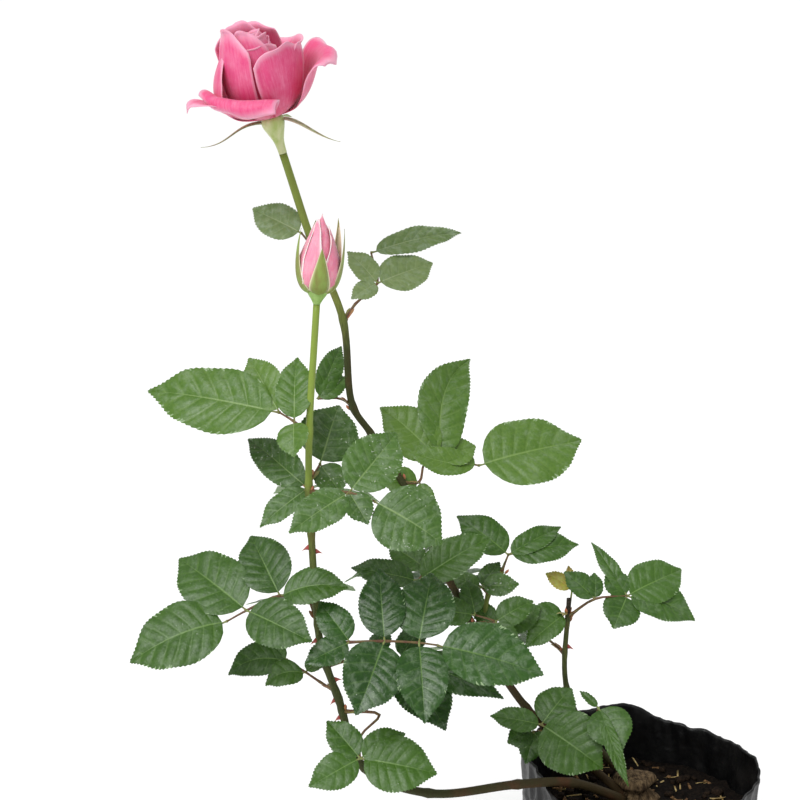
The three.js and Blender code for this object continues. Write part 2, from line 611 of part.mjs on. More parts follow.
const lines = {};
const clearances = {}; // each cane grown by the touching gap, to cut its neighbours clear
const crownClearance = crown(TOUCH_GAP);
for (const [name, cane] of Object.entries(CANES)) {
  lines[name] = caneLine(cane);
  clearances[name] = limb(lines[name], caneRadii(lines[name], cane.radii, TOUCH_GAP), CANE_SIDES);
}
for (const [name, cane] of Object.entries(CANES)) {
  for (const [part, joints] of Object.entries(cane.parts)) {
    const shape = caneStretch(lines[name], cane, joints);
    const cut = name === 'side' ? clearances.flower : crownClearance;
    rose.add(mesh(part, fuse([shape.subtract(cut)]), FINISH.cane));
  }
}

const rows = [...PLACED_LEAVES, ...RULED_LEAVES.map(ruledLeaf)];
rows.forEach((row, index) => {
  const whole = fuse(compoundLeaf(row, index, lines));
  rose.add(mesh(row.name, fuse([whole.subtract(clearances[row.cane])]), FINISH.leaf));
});

rose.add(mesh('open_bloom', bloom(lines.flower), FINISH.petal));
rose.add(mesh('opening_bud', bud(lines.bud), FINISH.petal));

export default rose;
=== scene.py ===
"""A young hybrid tea rose in a black polythene grow bag, made again with its looks.

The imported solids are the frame. Each cane, leaf, flower and the filled bag is modelled here in
full, in the place of its solid, and dressed with its finish.

The tables are in millimetres and the meshes in metres. A heading is an angle in plan from +X
towards +Y, and a rise is an angle above level. A compound leaf lies in one plane. Its face
(turn, tilt) is the way the upper surface looks: turned from -Y towards +X, and tilted up from
level. Bearings on a leaf are measured on that face, anticlockwise from its level line.
"""

import logging
import math
from collections.abc import Callable, Sequence
from dataclasses import dataclass, field
from enum import Enum
from functools import partial

import bmesh
import bpy
import numpy as np
from mathutils import Matrix, Vector, noise


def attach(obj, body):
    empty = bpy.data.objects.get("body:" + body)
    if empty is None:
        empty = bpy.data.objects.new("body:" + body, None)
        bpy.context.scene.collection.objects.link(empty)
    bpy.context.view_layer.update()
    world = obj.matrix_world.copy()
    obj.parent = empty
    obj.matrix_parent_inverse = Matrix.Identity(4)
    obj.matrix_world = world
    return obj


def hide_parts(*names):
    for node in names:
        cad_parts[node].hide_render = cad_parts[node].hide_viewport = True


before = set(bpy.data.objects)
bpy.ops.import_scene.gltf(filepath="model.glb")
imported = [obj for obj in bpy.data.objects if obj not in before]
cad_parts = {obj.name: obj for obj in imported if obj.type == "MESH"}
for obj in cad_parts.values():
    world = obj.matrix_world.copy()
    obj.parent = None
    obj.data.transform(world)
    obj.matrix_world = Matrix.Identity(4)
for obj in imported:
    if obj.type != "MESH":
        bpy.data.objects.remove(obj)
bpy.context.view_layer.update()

LOG = logging.getLogger("rose_bush")
MM = 0.001
WELD = 2e-6  # metres, within which corners are one
Pair = tuple[float, float]
Triple = tuple[float, float, float]


# ---------------------------------------------------------------- small maths


def chance(a: float, b: float, c: float) -> float:
    """Gives a repeatable value from 0 to 1 for a leaf, a leaflet on it and one of its features."""
    s = math.sin(a * 12.9898 + b * 78.233 + c * 37.719) * 43758.5453
    return s - math.floor(s)


def smooth(low: float, high: float, value: float) -> float:
    """Rises smoothly from 0, where the value is low, to 1, where it is high."""
    t = min(1.0, max(0.0, (value - low) / (high - low)))
    return t * t * (3 - 2 * t)


def reach(length: float, heading: float, rise: float) -> Vector:
    """Gives the vector of a length, a heading in plan and a rise above level, in degrees."""
    h, r = math.radians(heading), math.radians(rise)
    return length * Vector((math.cos(r) * math.cos(h), math.cos(r) * math.sin(h), math.sin(r)))


def square_to(along: Vector, heading: float) -> tuple[Vector, Vector]:
    """Finds the two directions square to a limb: out of it on the side of a heading, and across.

    Args:
        along: The limb's direction.
        heading: In degrees.

    Returns:
        The direction out and the direction across.
    """
    out = reach(1, heading, 0)
    out = (out - out.dot(along) * along).normalized()
    return out, along.cross(out)


def bezier(curve: Sequence[Pair], u: float) -> Pair:
    """Gives a point on a cubic curve of (radius, height) pairs.

    Args:
        curve: The four control points.
        u: From 0 at the first to 1 at the last.

    Returns:
        The radius and the height there.
    """
    w = 1 - u
    shares = (w**3, 3 * w * w * u, 3 * w * u * u, u**3)
    radius, height = (sum(s * p[axis] for s, p in zip(shares, curve)) for axis in (0, 1))
    return radius, height


@dataclass
class Line:
    """A line of points in millimetres, such as the middle of a cane or of a leaf's stalk."""

    points: list[Vector]

    @classmethod
    def rounded(cls, joints: Sequence[Vector], parts: int) -> "Line":
        """Rounds a walk of joints with a centripetal curve through all of them.

        Args:
            joints: The joints.
            parts: How many steps each stretch between two joints gets.

        Returns:
            The line.
        """
        ends = [2 * joints[0] - joints[1], *joints, 2 * joints[-1] - joints[-2]]
        points = [joints[0].copy()]
        for before, here, there, after in zip(ends, ends[1:], ends[2:], ends[3:]):
            spans = [math.sqrt((b - a).length) for a, b in
                     ((before, here), (here, there), (there, after))]
            d0, d1, d2 = spans
            leave = d1 * ((here - before) / d0 - (there - before) / (d0 + d1) + (there - here) / d1)
            meet = d1 * ((there - here) / d1 - (after - here) / (d1 + d2) + (after - there) / d2)
            for k in range(1, parts + 1):
                t = k / parts
                points.append(
                    here + leave * t + (3 * (there - here) - 2 * leave - meet) * t * t
                    + (2 * (here - there) + leave + meet) * t**3
                )
        return cls(points)

    def distances(self) -> list[float]:
        """Gives how far along the line each of its points is."""
        total = [0.0]
        for a, b in zip(self.points, self.points[1:]):
            total.append(total[-1] + (b - a).length)
        return total

    def at(self, distance: float) -> tuple[Vector, Vector]:
        """Finds the place at a distance along the line.

        Args:
            distance: In millimetres.

        Returns:
            The point and the direction there.
        """
        left = distance
        last = len(self.points) - 1
        for i, (a, b) in enumerate(zip(self.points, self.points[1:]), start=1):
            step = b - a
            if left <= step.length or i == last:
                break
            left -= step.length
        return a + step.normalized() * left, step.normalized()

    def frames(self) -> list[tuple[Vector, Vector]]:
        """Carries two directions square to the line along it, without twist.

        Returns:
            The side and the up direction at each point.
        """
        first = (self.points[1] - self.points[0]).normalized()
        side = Vector((1, 0, 0)) if abs(first.z) > 0.9 else Vector((0, 0, 1))
        found = []
        for i in range(len(self.points)):
            ahead = self.points[min(i + 1, len(self.points) - 1)]
            tangent = (ahead - self.points[max(i - 1, 0)]).normalized()
            side = (side - side.dot(tangent) * tangent).normalized()
            found.append((side.copy(), tangent.cross(side)))
        return found


# ---------------------------------------------------------------- finishes


def linear(code: str) -> tuple[float, float, float, float]:
    """Turns an sRGB hex colour into the linear colour that a shader takes.

    Args:
        code: Six hex digits.

    Returns:
        Red, green, blue and a full alpha.
    """
    values = [int(code[i : i + 2], 16) / 255 for i in (0, 2, 4)]
    red, green, blue = (
        v / 12.92 if v <= 0.04045 else ((v + 0.055) / 1.055) ** 2.4 for v in values
    )
    return red, green, blue, 1.0


def add_node(tree: bpy.types.NodeTree, kind: str, inputs: dict | None = None, **settings
             ) -> bpy.types.Node:
    """Adds a shader node with its settings, its values and its links.

    Args:
        tree: The material's nodes.
        kind: The node's type, without the words that all of them start with.
        inputs: For each input, by name or number, a value, another node's output, or another
            node, which stands for its first output in use.
        **settings: The node's own properties.

    Returns:
        The node.
    """
    node = tree.nodes.new(f"ShaderNode{kind}")
    for name, value in settings.items():
        setattr(node, name, value)
    for key, value in (inputs or {}).items():
        if isinstance(value, bpy.types.Node):
            value = next(socket for socket in value.outputs if socket.enabled)
        if isinstance(value, bpy.types.NodeSocket):
            tree.links.new(value, node.inputs[key])
        else:
            node.inputs[key].default_value = value
    return node


def start(name: str) -> tuple[bpy.types.Material, Callable, bpy.types.NodeSocket]:
    """Starts a material, with the piece's own coordinates ready for its patterns.

    Args:
        name: What the real finish is.

    Returns:
        The material, add_node for its nodes, and the coordinates.
    """
    material = bpy.data.materials.new(name)
    material.use_nodes = True
    material.node_tree.nodes.clear()
    add = partial(add_node, material.node_tree)
    return material, add, add("TexCoord").outputs["Object"]


def close(add: Callable, **sockets) -> None:
    """Ends a material with its one shader.

    Args:
        add: The function that adds a node to the material.
        **sockets: The shader's inputs, with underscores for the spaces in their names.
    """
    inputs = {name.replace("_", " "): value for name, value in sockets.items()}
    add("OutputMaterial", {"Surface": add("BsdfPrincipled", inputs)})


def per_metre(size: float) -> float:
    """Gives the scale of a pattern whose features are a size in millimetres apart."""
    return 1 / (size * MM)


@dataclass(frozen=True)
class LeafSkin:
    """The upper or lower skin of a leaflet: a waxy cuticle over puckered green tissue.

    The cuticle gives a broad soft gloss. Patchy grey-blue colour over the green is a painted
    sheen, which stands in for the sky's reflection. A net of fine veins breaks the green up, the
    main veins are a little paler, and old spray leaves chalky specks.
    """

    name: str
    green: str
    shade: str
    vein: str
    roughness: float
    specks: float = 0.0
    painted_sheen: float = 0.3  # how much painted sheen lies on the leaf: grey-blue patches for the sky's reflection
    mottle: float = 14.0  # the size of the cloudy patches
    speck_size: float = 1.3

    def build(self) -> bpy.types.Material:
        """Makes the material."""
        material, add, place = start(self.name)
        cloud = add("TexNoise", {"Vector": place, "Scale": per_metre(self.mottle), "Detail": 3.0,
                                 "Roughness": 0.6})
        tint = add("Attribute", attribute_name="tint").outputs["Fac"]
        net = add("TexVoronoi", {"Vector": place, "Scale": per_metre(2.4), "Randomness": 1.0},
                  feature="F1")
        both = add("Math", {0: cloud, 1: tint}, operation="ADD")
        total = add("Math", {0: net, 1: -0.75, 2: both}, operation="MULTIPLY_ADD")
        share = add("MapRange", {0: total, 1: 0.15, 2: 1.35})
        green = add("Mix", {0: share, 6: linear(self.green), 7: linear(self.shade)},
                    data_type="RGBA")
        # painted sheen: grey-blue patches over the green stand in for the sky's reflection
        sheen_patches = add("TexNoise", {"Vector": place, "Scale": per_metre(8.0), "Detail": 5.0,
                                 "Roughness": 0.75, "Distortion": 0.6})
        film = add("MapRange", {0: sheen_patches, 1: 0.48, 2: 0.68, 4: self.painted_sheen})
        blade = add("Mix", {0: film, 6: green, 7: linear("8E9F86")}, data_type="RGBA")
        rib = add("Attribute", attribute_name="vein").outputs["Fac"]
        colour = add("Mix", {0: rib, 6: blade, 7: linear(self.vein)}, data_type="RGBA")
        grain = add("TexNoise", {"Vector": place, "Scale": per_metre(self.speck_size),
                                 "Detail": 2.0})
        rough = add("MapRange", {0: grain, 1: 0.3, 2: 0.7, 3: self.roughness - 0.06,
                                 4: self.roughness + 0.1})
        if self.specks:
            patches = add("TexNoise", {"Vector": place, "Scale": per_metre(22.0), "Detail": 1.0})
            bar = add("MapRange", {0: patches, 1: 0.35, 2: 0.65, 3: 0.78,
                                   4: 0.78 - 0.14 * self.specks})
            over = add("Math", {0: grain, 1: bar}, operation="SUBTRACT")
            chalk = add("MapRange", {0: over, 1: 0.0, 2: 0.05, 4: 0.7})
            colour = add("Mix", {0: chalk, 6: colour, 7: linear("D9DED2")}, data_type="RGBA")
        relief = add("Math", {0: net, 1: -0.8, 2: grain}, operation="MULTIPLY_ADD")
        dimples = add("Bump", {"Height": relief, "Strength": 0.5, "Distance": 0.3 * MM})
        close(add, Base_Color=colour, Roughness=rough, Normal=dimples, IOR=1.45,
              Specular_IOR_Level=0.45)
        return material


@dataclass(frozen=True)
class PetalSkin:
    """The velvety skin of a petal.

    Tiny domed cells scatter the light, so it looks matte with a soft bloom at grazing angles. Fine
    veins fan out to the rim, which is paler. Towards the foot the pink deepens to the throat
    colour, painted shade down in the bloom.
    """

    name: str
    pink: str
    rim: str
    throat_shade_and_tone: str
    sheen: float = 0.25

    def build(self) -> bpy.types.Material:
        """Makes the material."""
        material, add, place = start(self.name)
        along = add("UVMap", uv_map="petal")
        fan = add("Mapping", {"Vector": along, "Scale": (34.0, 5.0, 1.0)})
        veins = add("TexNoise", {"Vector": fan, "Scale": 1.0, "Detail": 3.0, "Roughness": 0.6})
        cloud = add("TexNoise", {"Vector": place, "Scale": per_metre(9.0), "Detail": 5.0,
                                 "Roughness": 0.7})
        # painted shade: the depth mark takes the pink to the throat colour towards the foot and in
        # the heart
        deep = add("Attribute", attribute_name="depth").outputs["Fac"]
        body = add("Mix", {0: deep, 6: linear(self.pink), 7: linear(self.throat_shade_and_tone)},
                   data_type="RGBA")
        streak = add("Math", {0: veins, 1: cloud}, operation="MULTIPLY")
        amount = add("MapRange", {0: streak, 1: 0.16, 2: 0.4, 4: 0.3})
        veined = add("Mix", {0: amount, 6: body, 7: linear(self.rim)}, data_type="RGBA")
        pale = add("Attribute", attribute_name="rim").outputs["Fac"]
        colour = add("Mix", {0: pale, 6: veined, 7: linear(self.rim)}, data_type="RGBA")
        rough = add("MapRange", {0: veins, 3: 0.46, 4: 0.66})
        ribs = add("Bump", {"Height": veins, "Strength": 0.35, "Distance": 0.3 * MM})
        close(add, Base_Color=colour, Roughness=rough, Normal=ribs, Sheen_Weight=self.sheen,
              Sheen_Roughness=0.4, Specular_IOR_Level=0.35, Subsurface_Weight=0.12,
              Subsurface_Scale=2 * MM)
        return material


@dataclass(frozen=True)
class Bark:
    """The skin of a cane: smooth green epidermis that turns to thin brown bark with age.

    Pale lengthwise streaks and a red flush in patches, stronger on the older bark, break the green
    up.
    """

    name: str
    ages: tuple[tuple[float, str], ...]  # (age, colour) from the young tip to the old foot
    flush: str
    roughness: float = 0.42
    streak: float = 1.1
    patch: float = 16.0

    def build(self) -> bpy.types.Material:
        """Makes the material."""
        material, add, place = start(self.name)
        age = add("Attribute", attribute_name="age").outputs["Fac"]
        upright = add("Mapping", {"Vector": place, "Scale": (1.0, 1.0, 0.16)})
        streaks = add("TexNoise", {"Vector": upright, "Scale": per_metre(self.streak),
                                   "Detail": 3.0})
        shifted = add("MapRange", {0: streaks, 3: -0.14, 4: 0.14})
        total = add("Math", {0: age, 1: shifted}, operation="ADD")
        ramp = add("ValToRGB", {0: total})
        stops = ramp.color_ramp.elements
        stops[0].position, stops[0].color = self.ages[0][0], linear(self.ages[0][1])
        stops[1].position, stops[1].color = self.ages[-1][0], linear(self.ages[-1][1])
        for position, code in self.ages[1:-1]:
            stops.new(position).color = linear(code)
        patches = add("TexNoise", {"Vector": place, "Scale": per_metre(self.patch),
                                   "Detail": 2.0})
        sunny = add("MapRange", {0: patches, 1: 0.52, 2: 0.75, 4: 0.45})
        sunny = add("Math", {0: sunny, 1: age}, operation="MULTIPLY")
        colour = add("Mix", {0: sunny, 6: ramp, 7: linear(self.flush)}, data_type="RGBA")
        rough = add("MapRange", {0: total, 3: self.roughness - 0.04, 4: self.roughness + 0.35})
        ridges = add("Bump", {"Height": streaks, "Strength": 0.4, "Distance": 0.3 * MM})
        close(add, Base_Color=colour, Roughness=rough, Normal=ridges, Specular_IOR_Level=0.22)
        return material


@dataclass(frozen=True)
class GreenPart:
    """A soft green or reddish part with two tones, such as a hip, a sepal, a stipule or a thorn."""

    name: str
    body: str
    other: str
    edge: str
    roughness: float
    grain: float = 3.0
    stretch: Triple = (1.0, 1.0, 1.0)

    def build(self) -> bpy.types.Material:
        """Makes the material."""
        material, add, place = start(self.name)
        drawn = add("Mapping", {"Vector": place, "Scale": self.stretch})
        cells = add("TexNoise", {"Vector": drawn, "Scale": per_metre(self.grain), "Detail": 3.0})
        share = add("MapRange", {0: cells, 1: 0.35, 2: 0.65})
        body = add("Mix", {0: share, 6: linear(self.body), 7: linear(self.other)},
                   data_type="RGBA")
        margin = add("Attribute", attribute_name="rim").outputs["Fac"]
        colour = add("Mix", {0: margin, 6: body, 7: linear(self.edge)}, data_type="RGBA")
        rough = add("MapRange", {0: cells, 3: self.roughness - 0.08, 4: self.roughness + 0.12})
        lift = add("Bump", {"Height": cells, "Strength": 0.25, "Distance": 0.2 * MM})
        close(add, Base_Color=colour, Roughness=rough, Normal=lift, Specular_IOR_Level=0.4)
        return material


@dataclass(frozen=True)
class Polythene:
    """Blown black polythene film: a soft plastic gloss broken up by creases and by dried mud."""

    name: str
    black: str
    dust: str
    crease: float = 9.0
    crinkle: float = 8.8

    def build(self) -> bpy.types.Material:
        """Makes the material."""
        material, add, place = start(self.name)
        folds = add("TexNoise", {"Vector": place, "Scale": per_metre(self.crease), "Detail": 4.0,
                                 "Roughness": 0.55, "Distortion": 0.8})
        crinkles = add("TexVoronoi", {"Vector": place, "Scale": per_metre(self.crinkle)},
                       feature="DISTANCE_TO_EDGE")
        smudge = add("TexNoise", {"Vector": place, "Scale": per_metre(30.0), "Detail": 5.0,
                                  "Roughness": 0.7})
        dirt = add("MapRange", {0: smudge, 1: 0.5, 2: 0.8, 4: 0.5})
        colour = add("Mix", {0: dirt, 6: linear(self.black), 7: linear(self.dust)},
                     data_type="RGBA")
        rough = add("MapRange", {0: smudge, 1: 0.3, 2: 0.8, 3: 0.3, 4: 0.7})
        height = add("Math", {0: crinkles, 1: 0.35, 2: folds}, operation="MULTIPLY_ADD")
        bump = add("Bump", {"Height": height, "Strength": 0.55, "Distance": 1.2 * MM})
        close(add, Base_Color=colour, Roughness=rough, Normal=bump, IOR=1.51,
              Specular_IOR_Level=0.35)
        return material


@dataclass(frozen=True)
class Crumbs:
    """A rough earthy stuff: compost, or a chip of bark or straw in it."""

    name: str
    dark: str
    pale: str
    size: float
    roughness: float = 0.95
    depth: float = 1.0
    stretch: Triple = (1.0, 1.0, 1.0)

    def build(self) -> bpy.types.Material:
        """Makes the material."""
        material, add, place = start(self.name)
        drawn = add("Mapping", {"Vector": place, "Scale": self.stretch})
        lumps = add("TexNoise", {"Vector": drawn, "Scale": per_metre(self.size), "Detail": 6.0,
                                 "Roughness": 0.7})
        share = add("MapRange", {0: lumps, 1: 0.4, 2: 0.68})
        colour = add("Mix", {0: share, 6: linear(self.dark), 7: linear(self.pale)},
                     data_type="RGBA")
        bump = add("Bump", {"Height": lumps, "Strength": 0.8, "Distance": self.depth * MM})
        close(add, Base_Color=colour, Roughness=self.roughness, Normal=bump,
              Specular_IOR_Level=0.12)
        return material


class Tone(Enum):
    """The greens of the leaves, which go with their age and their light."""

    DULL = LeafSkin("olive upper leaf skin", "778A56", "58703C", "A1AE84", 0.46, 0.4, painted_sheen=0.55)
    FRESH = LeafSkin("fresh upper leaf skin", "567629", "3E6318", "88A35E", 0.4, painted_sheen=0.28)
    SPECKLED = LeafSkin("spray specked leaf skin", "486A28", "325218", "90A96A", 0.43, 1.0, 0.42,
                        speck_size=1.6)
    MIDDLE = LeafSkin("middle leaf skin", "3C5F18", "27480C", "75954C", 0.4, 0.3, 0.22)
    DEEP = LeafSkin("deep glossy leaf skin", "2D5217", "1A3C0D", "71914D", 0.33, 0.35, 0.36)
    YOUNG = LeafSkin("young bronzed leaf skin", "A3A243", "A2603A", "BFA565", 0.4)
    STIPULE = LeafSkin("stipule skin", "8A8A4B", "A35A45", "B98F63", 0.5)
    UNDERSIDE = LeafSkin("pale underside of a leaf", "8FA67C", "7C9669", "A9BB92", 0.6)


LEAF_SKINS = list(Tone)


# ---------------------------------------------------------------- ways of making a mesh


def sheet(
    mesh: bmesh.types.BMesh, across: int, along: int, place: Callable[[float, float], Vector],
    marks: dict[str, Callable[[float, float], float]] | None = None, slot: int = 0,
) -> list[bmesh.types.BMVert]:
    """Lays a grid of faces and moves each of its corners to its place.

    Args:
        mesh: The mesh that the grid is added to.
        across: The number of faces from w -1 to w 1.
        along: The number of faces from u 0 to u 1.
        place: Gives the place, in millimetres, of a corner at (u, w).
        marks: Gives what each named mark of a corner at (u, w) is, for its finish.
        slot: The number of its finish.

    Returns:
        The corners.
    """
    for name in marks or {}:
        mesh.verts.layers.float.get(name) or mesh.verts.layers.float.new(name)
    chart = mesh.loops.layers.uv.get("petal") or mesh.loops.layers.uv.new("petal")
    corners = bmesh.ops.create_grid(mesh, x_segments=across, y_segments=along, size=1.0)["verts"]
    layers = {name: mesh.verts.layers.float[name] for name in marks or {}}
    for corner in corners:
        for loop in corner.link_loops:
            loop[chart].uv = ((corner.co.x + 1) / 2, (corner.co.y + 1) / 2)
            loop.face.material_index = slot
            loop.face.smooth = True
    for corner in corners:
        w, u = corner.co.x, (corner.co.y + 1) / 2
        corner.co = place(u, w) * MM
        for name, layer in layers.items():
            corner[layer] = marks[name](u, w)
    return corners


def shown(name: str, data: bpy.types.ID) -> bpy.types.Object:
    """Puts a mesh, a lamp or a lens in the scene.

    Args:
        name: The name that it gets as an object.
        data: The mesh, lamp or lens.

    Returns:
        The object.
    """
    thing = bpy.data.objects.new(name, data)
    bpy.context.scene.collection.objects.link(thing)
    return thing


def finished(
    mesh: bmesh.types.BMesh, name: str, finishes: Sequence[bpy.types.Material],
    solid: bool = True,
) -> bpy.types.Object:
    """Turns a mesh into a shown piece that stands where its corners are.

    Args:
        mesh: The mesh, which is used up.
        name: The piece's name.
        finishes: Its materials, by number.
        solid: True if it is closed and its faces are to look outwards.

    Returns:
        The piece.
    """
    bmesh.ops.remove_doubles(mesh, verts=mesh.verts, dist=WELD)
    if solid:
        bmesh.ops.recalc_face_normals(mesh, faces=mesh.faces)
    data = bpy.data.meshes.new(name)
    mesh.to_mesh(data)
    mesh.free()
    for finish in finishes:
        data.materials.append(finish)
    return shown(name, data)


def stands_for(piece: bpy.types.Object, slot: str, *nodes: str) -> bpy.types.Object:
    """Puts a piece on the bush and hides the solids that it takes the place of.

    Args:
        piece: The piece.
        slot: Not used.
        *nodes: The names of the solids.

    Returns:
        The piece.
    """
    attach(piece, "root")
    if nodes:
        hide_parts(*nodes)
    faces = len(piece.data.polygons)
    LOG.info("%s: %d faces, in place of %d solids", piece.name, faces, len(nodes))
    return piece


@dataclass
class Heap:
    """Gathers many small shapes, made from arrays, into one mesh."""

    points: list[np.ndarray] = field(default_factory=list)
    faces: list[list[int]] = field(default_factory=list)
    slots: list[int] = field(default_factory=list)
    cells: list[int] = field(default_factory=list)
    vein: list[np.ndarray] = field(default_factory=list)
    tint: list[np.ndarray] = field(default_factory=list)
    chart: list[np.ndarray] = field(default_factory=list)
    count: int = 0
    used: int = 0
    margin: float = 0.04  # round each flat pattern in its cell of the map

    def add(self, points: np.ndarray, faces: list[list[int]], slots: list[int],
            vein: np.ndarray | None = None, tint: float = 0.0,
            chart: np.ndarray | None = None, cells: list[int] | None = None) -> None:
        """Adds one shape.

        Args:
            points: Its points in millimetres.
            faces: Its faces, by the points' numbers.
            slots: The finish of each face.
            vein: How much of a vein each point is on.
            tint: How far the shape's colour goes to its shade.
            chart: Where each point lies on the shape's own flat pattern, from 0 to 1.
            cells: Which of the shape's flat patterns each face is on.
        """
        n = len(points)
        self.points.append(points)
        self.faces.extend([[i + self.count for i in face] for face in faces])
        self.slots.extend(slots)
        self.cells.extend([self.used + c for c in (cells or [0] * len(faces))])
        self.used += 1 + max(cells or [0])
        self.vein.append(np.zeros(n) if vein is None else vein)
        self.tint.append(np.full(n, tint))
        self.chart.append(np.zeros((n, 2)) if chart is None else chart)
        self.count += n

    def build(self, name: str, finishes: Sequence[bpy.types.Material], mapped: bool = False
              ) -> bpy.types.Object:
        """Makes the piece.

        Args:
            name: Its name.
            finishes: Its materials, by number.
            mapped: True if the flat patterns are laid out side by side in a map.

        Returns:
            The piece.
        """
        data = bpy.data.meshes.new(name)
        data.from_pydata((np.concatenate(self.points) * MM).tolist(), [], self.faces)
        data.polygons.foreach_set("material_index", np.array(self.slots, np.int32))
        data.polygons.foreach_set("use_smooth", np.ones(len(self.faces), bool))
        for mark, values in (("vein", self.vein), ("tint", self.tint)):
            layer = data.attributes.new(mark, "FLOAT", "POINT")
            layer.data.foreach_set("value", np.concatenate(values).astype(np.float32))
        sizes = np.array([len(face) for face in self.faces])
        corner = np.empty(len(data.loops), np.int32)
        data.loops.foreach_get("vertex_index", corner)
        if mapped:
            rows = math.ceil(math.sqrt(self.used))
            cell = np.repeat(np.array(self.cells), sizes)
            flat = self.margin + (1 - 2 * self.margin) * np.concatenate(self.chart)[corner]
            flat = (flat + np.stack([cell % rows, cell // rows], 1)) / rows
            data.uv_layers.new(name="OFBake").data.foreach_set("uv", flat.ravel())
        edge = np.empty(len(data.loops), np.int32)
        data.loops.foreach_get("edge_index", edge)
        slot = np.repeat(np.array(self.slots), sizes)
        low, high = np.full(len(data.edges), 99), np.full(len(data.edges), -1)
        np.minimum.at(low, edge, slot)
        np.maximum.at(high, edge, slot)
        sharp = data.attributes.new("sharp_edge", "BOOLEAN", "EDGE")
        sharp.data.foreach_set("value", low != high)
        for finish in finishes:
            data.materials.append(finish)
        data.update()
        return shown(name, data)


# ---------------------------------------------------------------- grow bag and soil


@dataclass
class GrowBag:
    """The polythene bag and the compost in it, with chips of bark and straw on top."""

    foot_radius: float = 70.0
    rim_radius: float = 79.0
    rim_height: float = 174.0
    rim_swell: float = 8.0
    rim_swell_heading: float = 130.0
    film: float = 1.2
    floor: float = 2.0
    soil_height: float = 146.0
    soil_dome: float = 3.0
    fold_depth: float = 6.4
    crease_depth: float = 3.2
    sides: int = 240
    wall_rows: int = 44
    top_rows: int = 54
    plug_rows: int = 36
    chips: int = 260

    def crumple(self, turn: float, level: float) -> float:
        """Gives how far the film stands out of round.

        Args:
            turn: The heading, in radians.
            level: From 0 at the foot to 1 at the rim.

        Returns:
            The distance, in millimetres.
        """
        broad = sum(size * math.sin(waves * turn + start_at)
                    for size, waves, start_at in ((1.6, 5, 1), (1.1, 8, 2.5), (2, 3, 0)))
        spot = Vector((2.2 * math.cos(turn), 2.2 * math.sin(turn), 1.7 * level))
        fold = abs(noise.noise(spot * 1.7)) * self.fold_depth - 0.6
        crease = abs(noise.noise(spot * 4.3 + Vector((5, 2, 1)))) * self.crease_depth
        return level * broad - smooth(0, 0.15, level) * (fold + crease)

    def radius(self, turn: float, level: float) -> float:
        """Gives the outer radius of the bag at a heading and a level."""
        taper = self.foot_radius + (self.rim_radius - self.foot_radius) * math.sqrt(level)
        return taper + self.crumple(turn, level)

    def rim(self, turn: float) -> float:
        """Gives the height of the rim at a heading."""
        uneven = 4 * math.sin(4 * turn + 0.87) + 1.2 * math.sin(9 * turn)
        spot = Vector((math.cos(turn), math.sin(turn), 7.0))
        swell = self.rim_swell * math.cos(turn - math.radians(self.rim_swell_heading))
        return self.rim_height + swell + uneven + 1.6 * noise.noise(spot * 6)

    def build_bag(self) -> bpy.types.Object:
        """Makes the bag: one closed skin, up the outside, over the rim and down the inside."""
        # (level up the wall, how far in from the outer skin, radius as a share of the wall's)
        n = self.wall_rows
        wall = [(0.0, 0.0, 0.0), (0.0, 0.0, 0.5), (0.0, 0.0, 0.97), (0.008, -0.4, 1.0)]
        wall += [(k / n, 0.0, 1.0) for k in range(1, n)]
        wall += [(0.993, -0.5, 1.0), (1.0, -0.3, 1.0), (1.0, 0.9, 1.0), (0.99, self.film, 1.0)]
        wall += [(k / n, self.film, 1.0) for k in range(n - 1, 0, -1)]
        wall += [(0.0, self.film, 0.97), (0.0, self.film, 0.5), (0.0, self.film, 0.0)]

        def place(u: float, w: float) -> Vector:
            """Places a corner of the bag's film.

            Args:
                u: How far along the sheet it is, from 0 to 1.
                w: How far across the sheet it is, from -1 to 1.

            Returns:
                The place, in millimetres.
            """
            row = round(u * (len(wall) - 1))
            level, inset, share = wall[row]
            turn = math.pi * w
            base = self.floor if row > len(wall) // 2 else 0.0
            radius = (self.radius(turn, level) - inset) * share
            height = base + (self.rim(turn) - base) * level
            return Vector((radius * math.cos(turn), radius * math.sin(turn), height))

        mesh = bmesh.new()
        sheet(mesh, self.sides, len(wall) - 1, place)
        film = Polythene("black polythene film", "070708", "1F1B17").build()
        return stands_for(finished(mesh, "polythene_bag", [film]), "polythene", "grow_bag")

    def surface(self, x: float, y: float) -> float:
        """Gives the height of the compost at a place, in millimetres."""
        share = min(1.0, math.hypot(x, y) / self.rim_radius)
        swell = noise.noise(Vector((x, y, 3)) / 23) * 3.2
        lumps = noise.fractal(Vector((x, y, 9)) / 6, 0.8, 2.0, 4) * 1.5
        rise = self.soil_dome * min(1.0, 1.6 * (1 - share))
        return self.soil_height - self.soil_dome - 0.8 + rise + swell * (1 - share**4) + lumps

    def build_soil(self) -> bpy.types.Object:
        """Makes the compost: a lumpy top and the plug under it that fills the bag."""
        top = [(k / self.top_rows, 1.0) for k in range(self.top_rows + 1)]
        side = [(1.0, 1 - k / self.plug_rows) for k in range(1, self.plug_rows)]
        rows = top + side + [(0.5, 0.03), (0.0, 0.03)]

        def place(u: float, w: float) -> Vector:
            """Places a corner of the compost's top or plug.

            Args:
                u: How far along the sheet it is, from 0 to 1.
                w: How far across the sheet it is, from -1 to 1.

            Returns:
                The place, in millimetres.
            """
            share, depth = rows[round(u * (len(rows) - 1))]
            turn = math.pi * w
            edge = self.soil_height / self.rim(turn)
            radius = (self.radius(turn, edge * depth) - self.film - 1.0) * share
            x, y = radius * math.cos(turn), radius * math.sin(turn)
            height = self.surface(x, y) if depth == 1.0 else self.soil_height * depth
            return Vector((x, y, height))

        mesh = bmesh.new()
        sheet(mesh, self.sides, len(rows) - 1, place)
        compost = Crumbs("peaty potting compost", "050302", "1E1610", 2.4, depth=1.6).build()
        return stands_for(finished(mesh, "compost", [compost]), "potting_soil", "potting_soil")

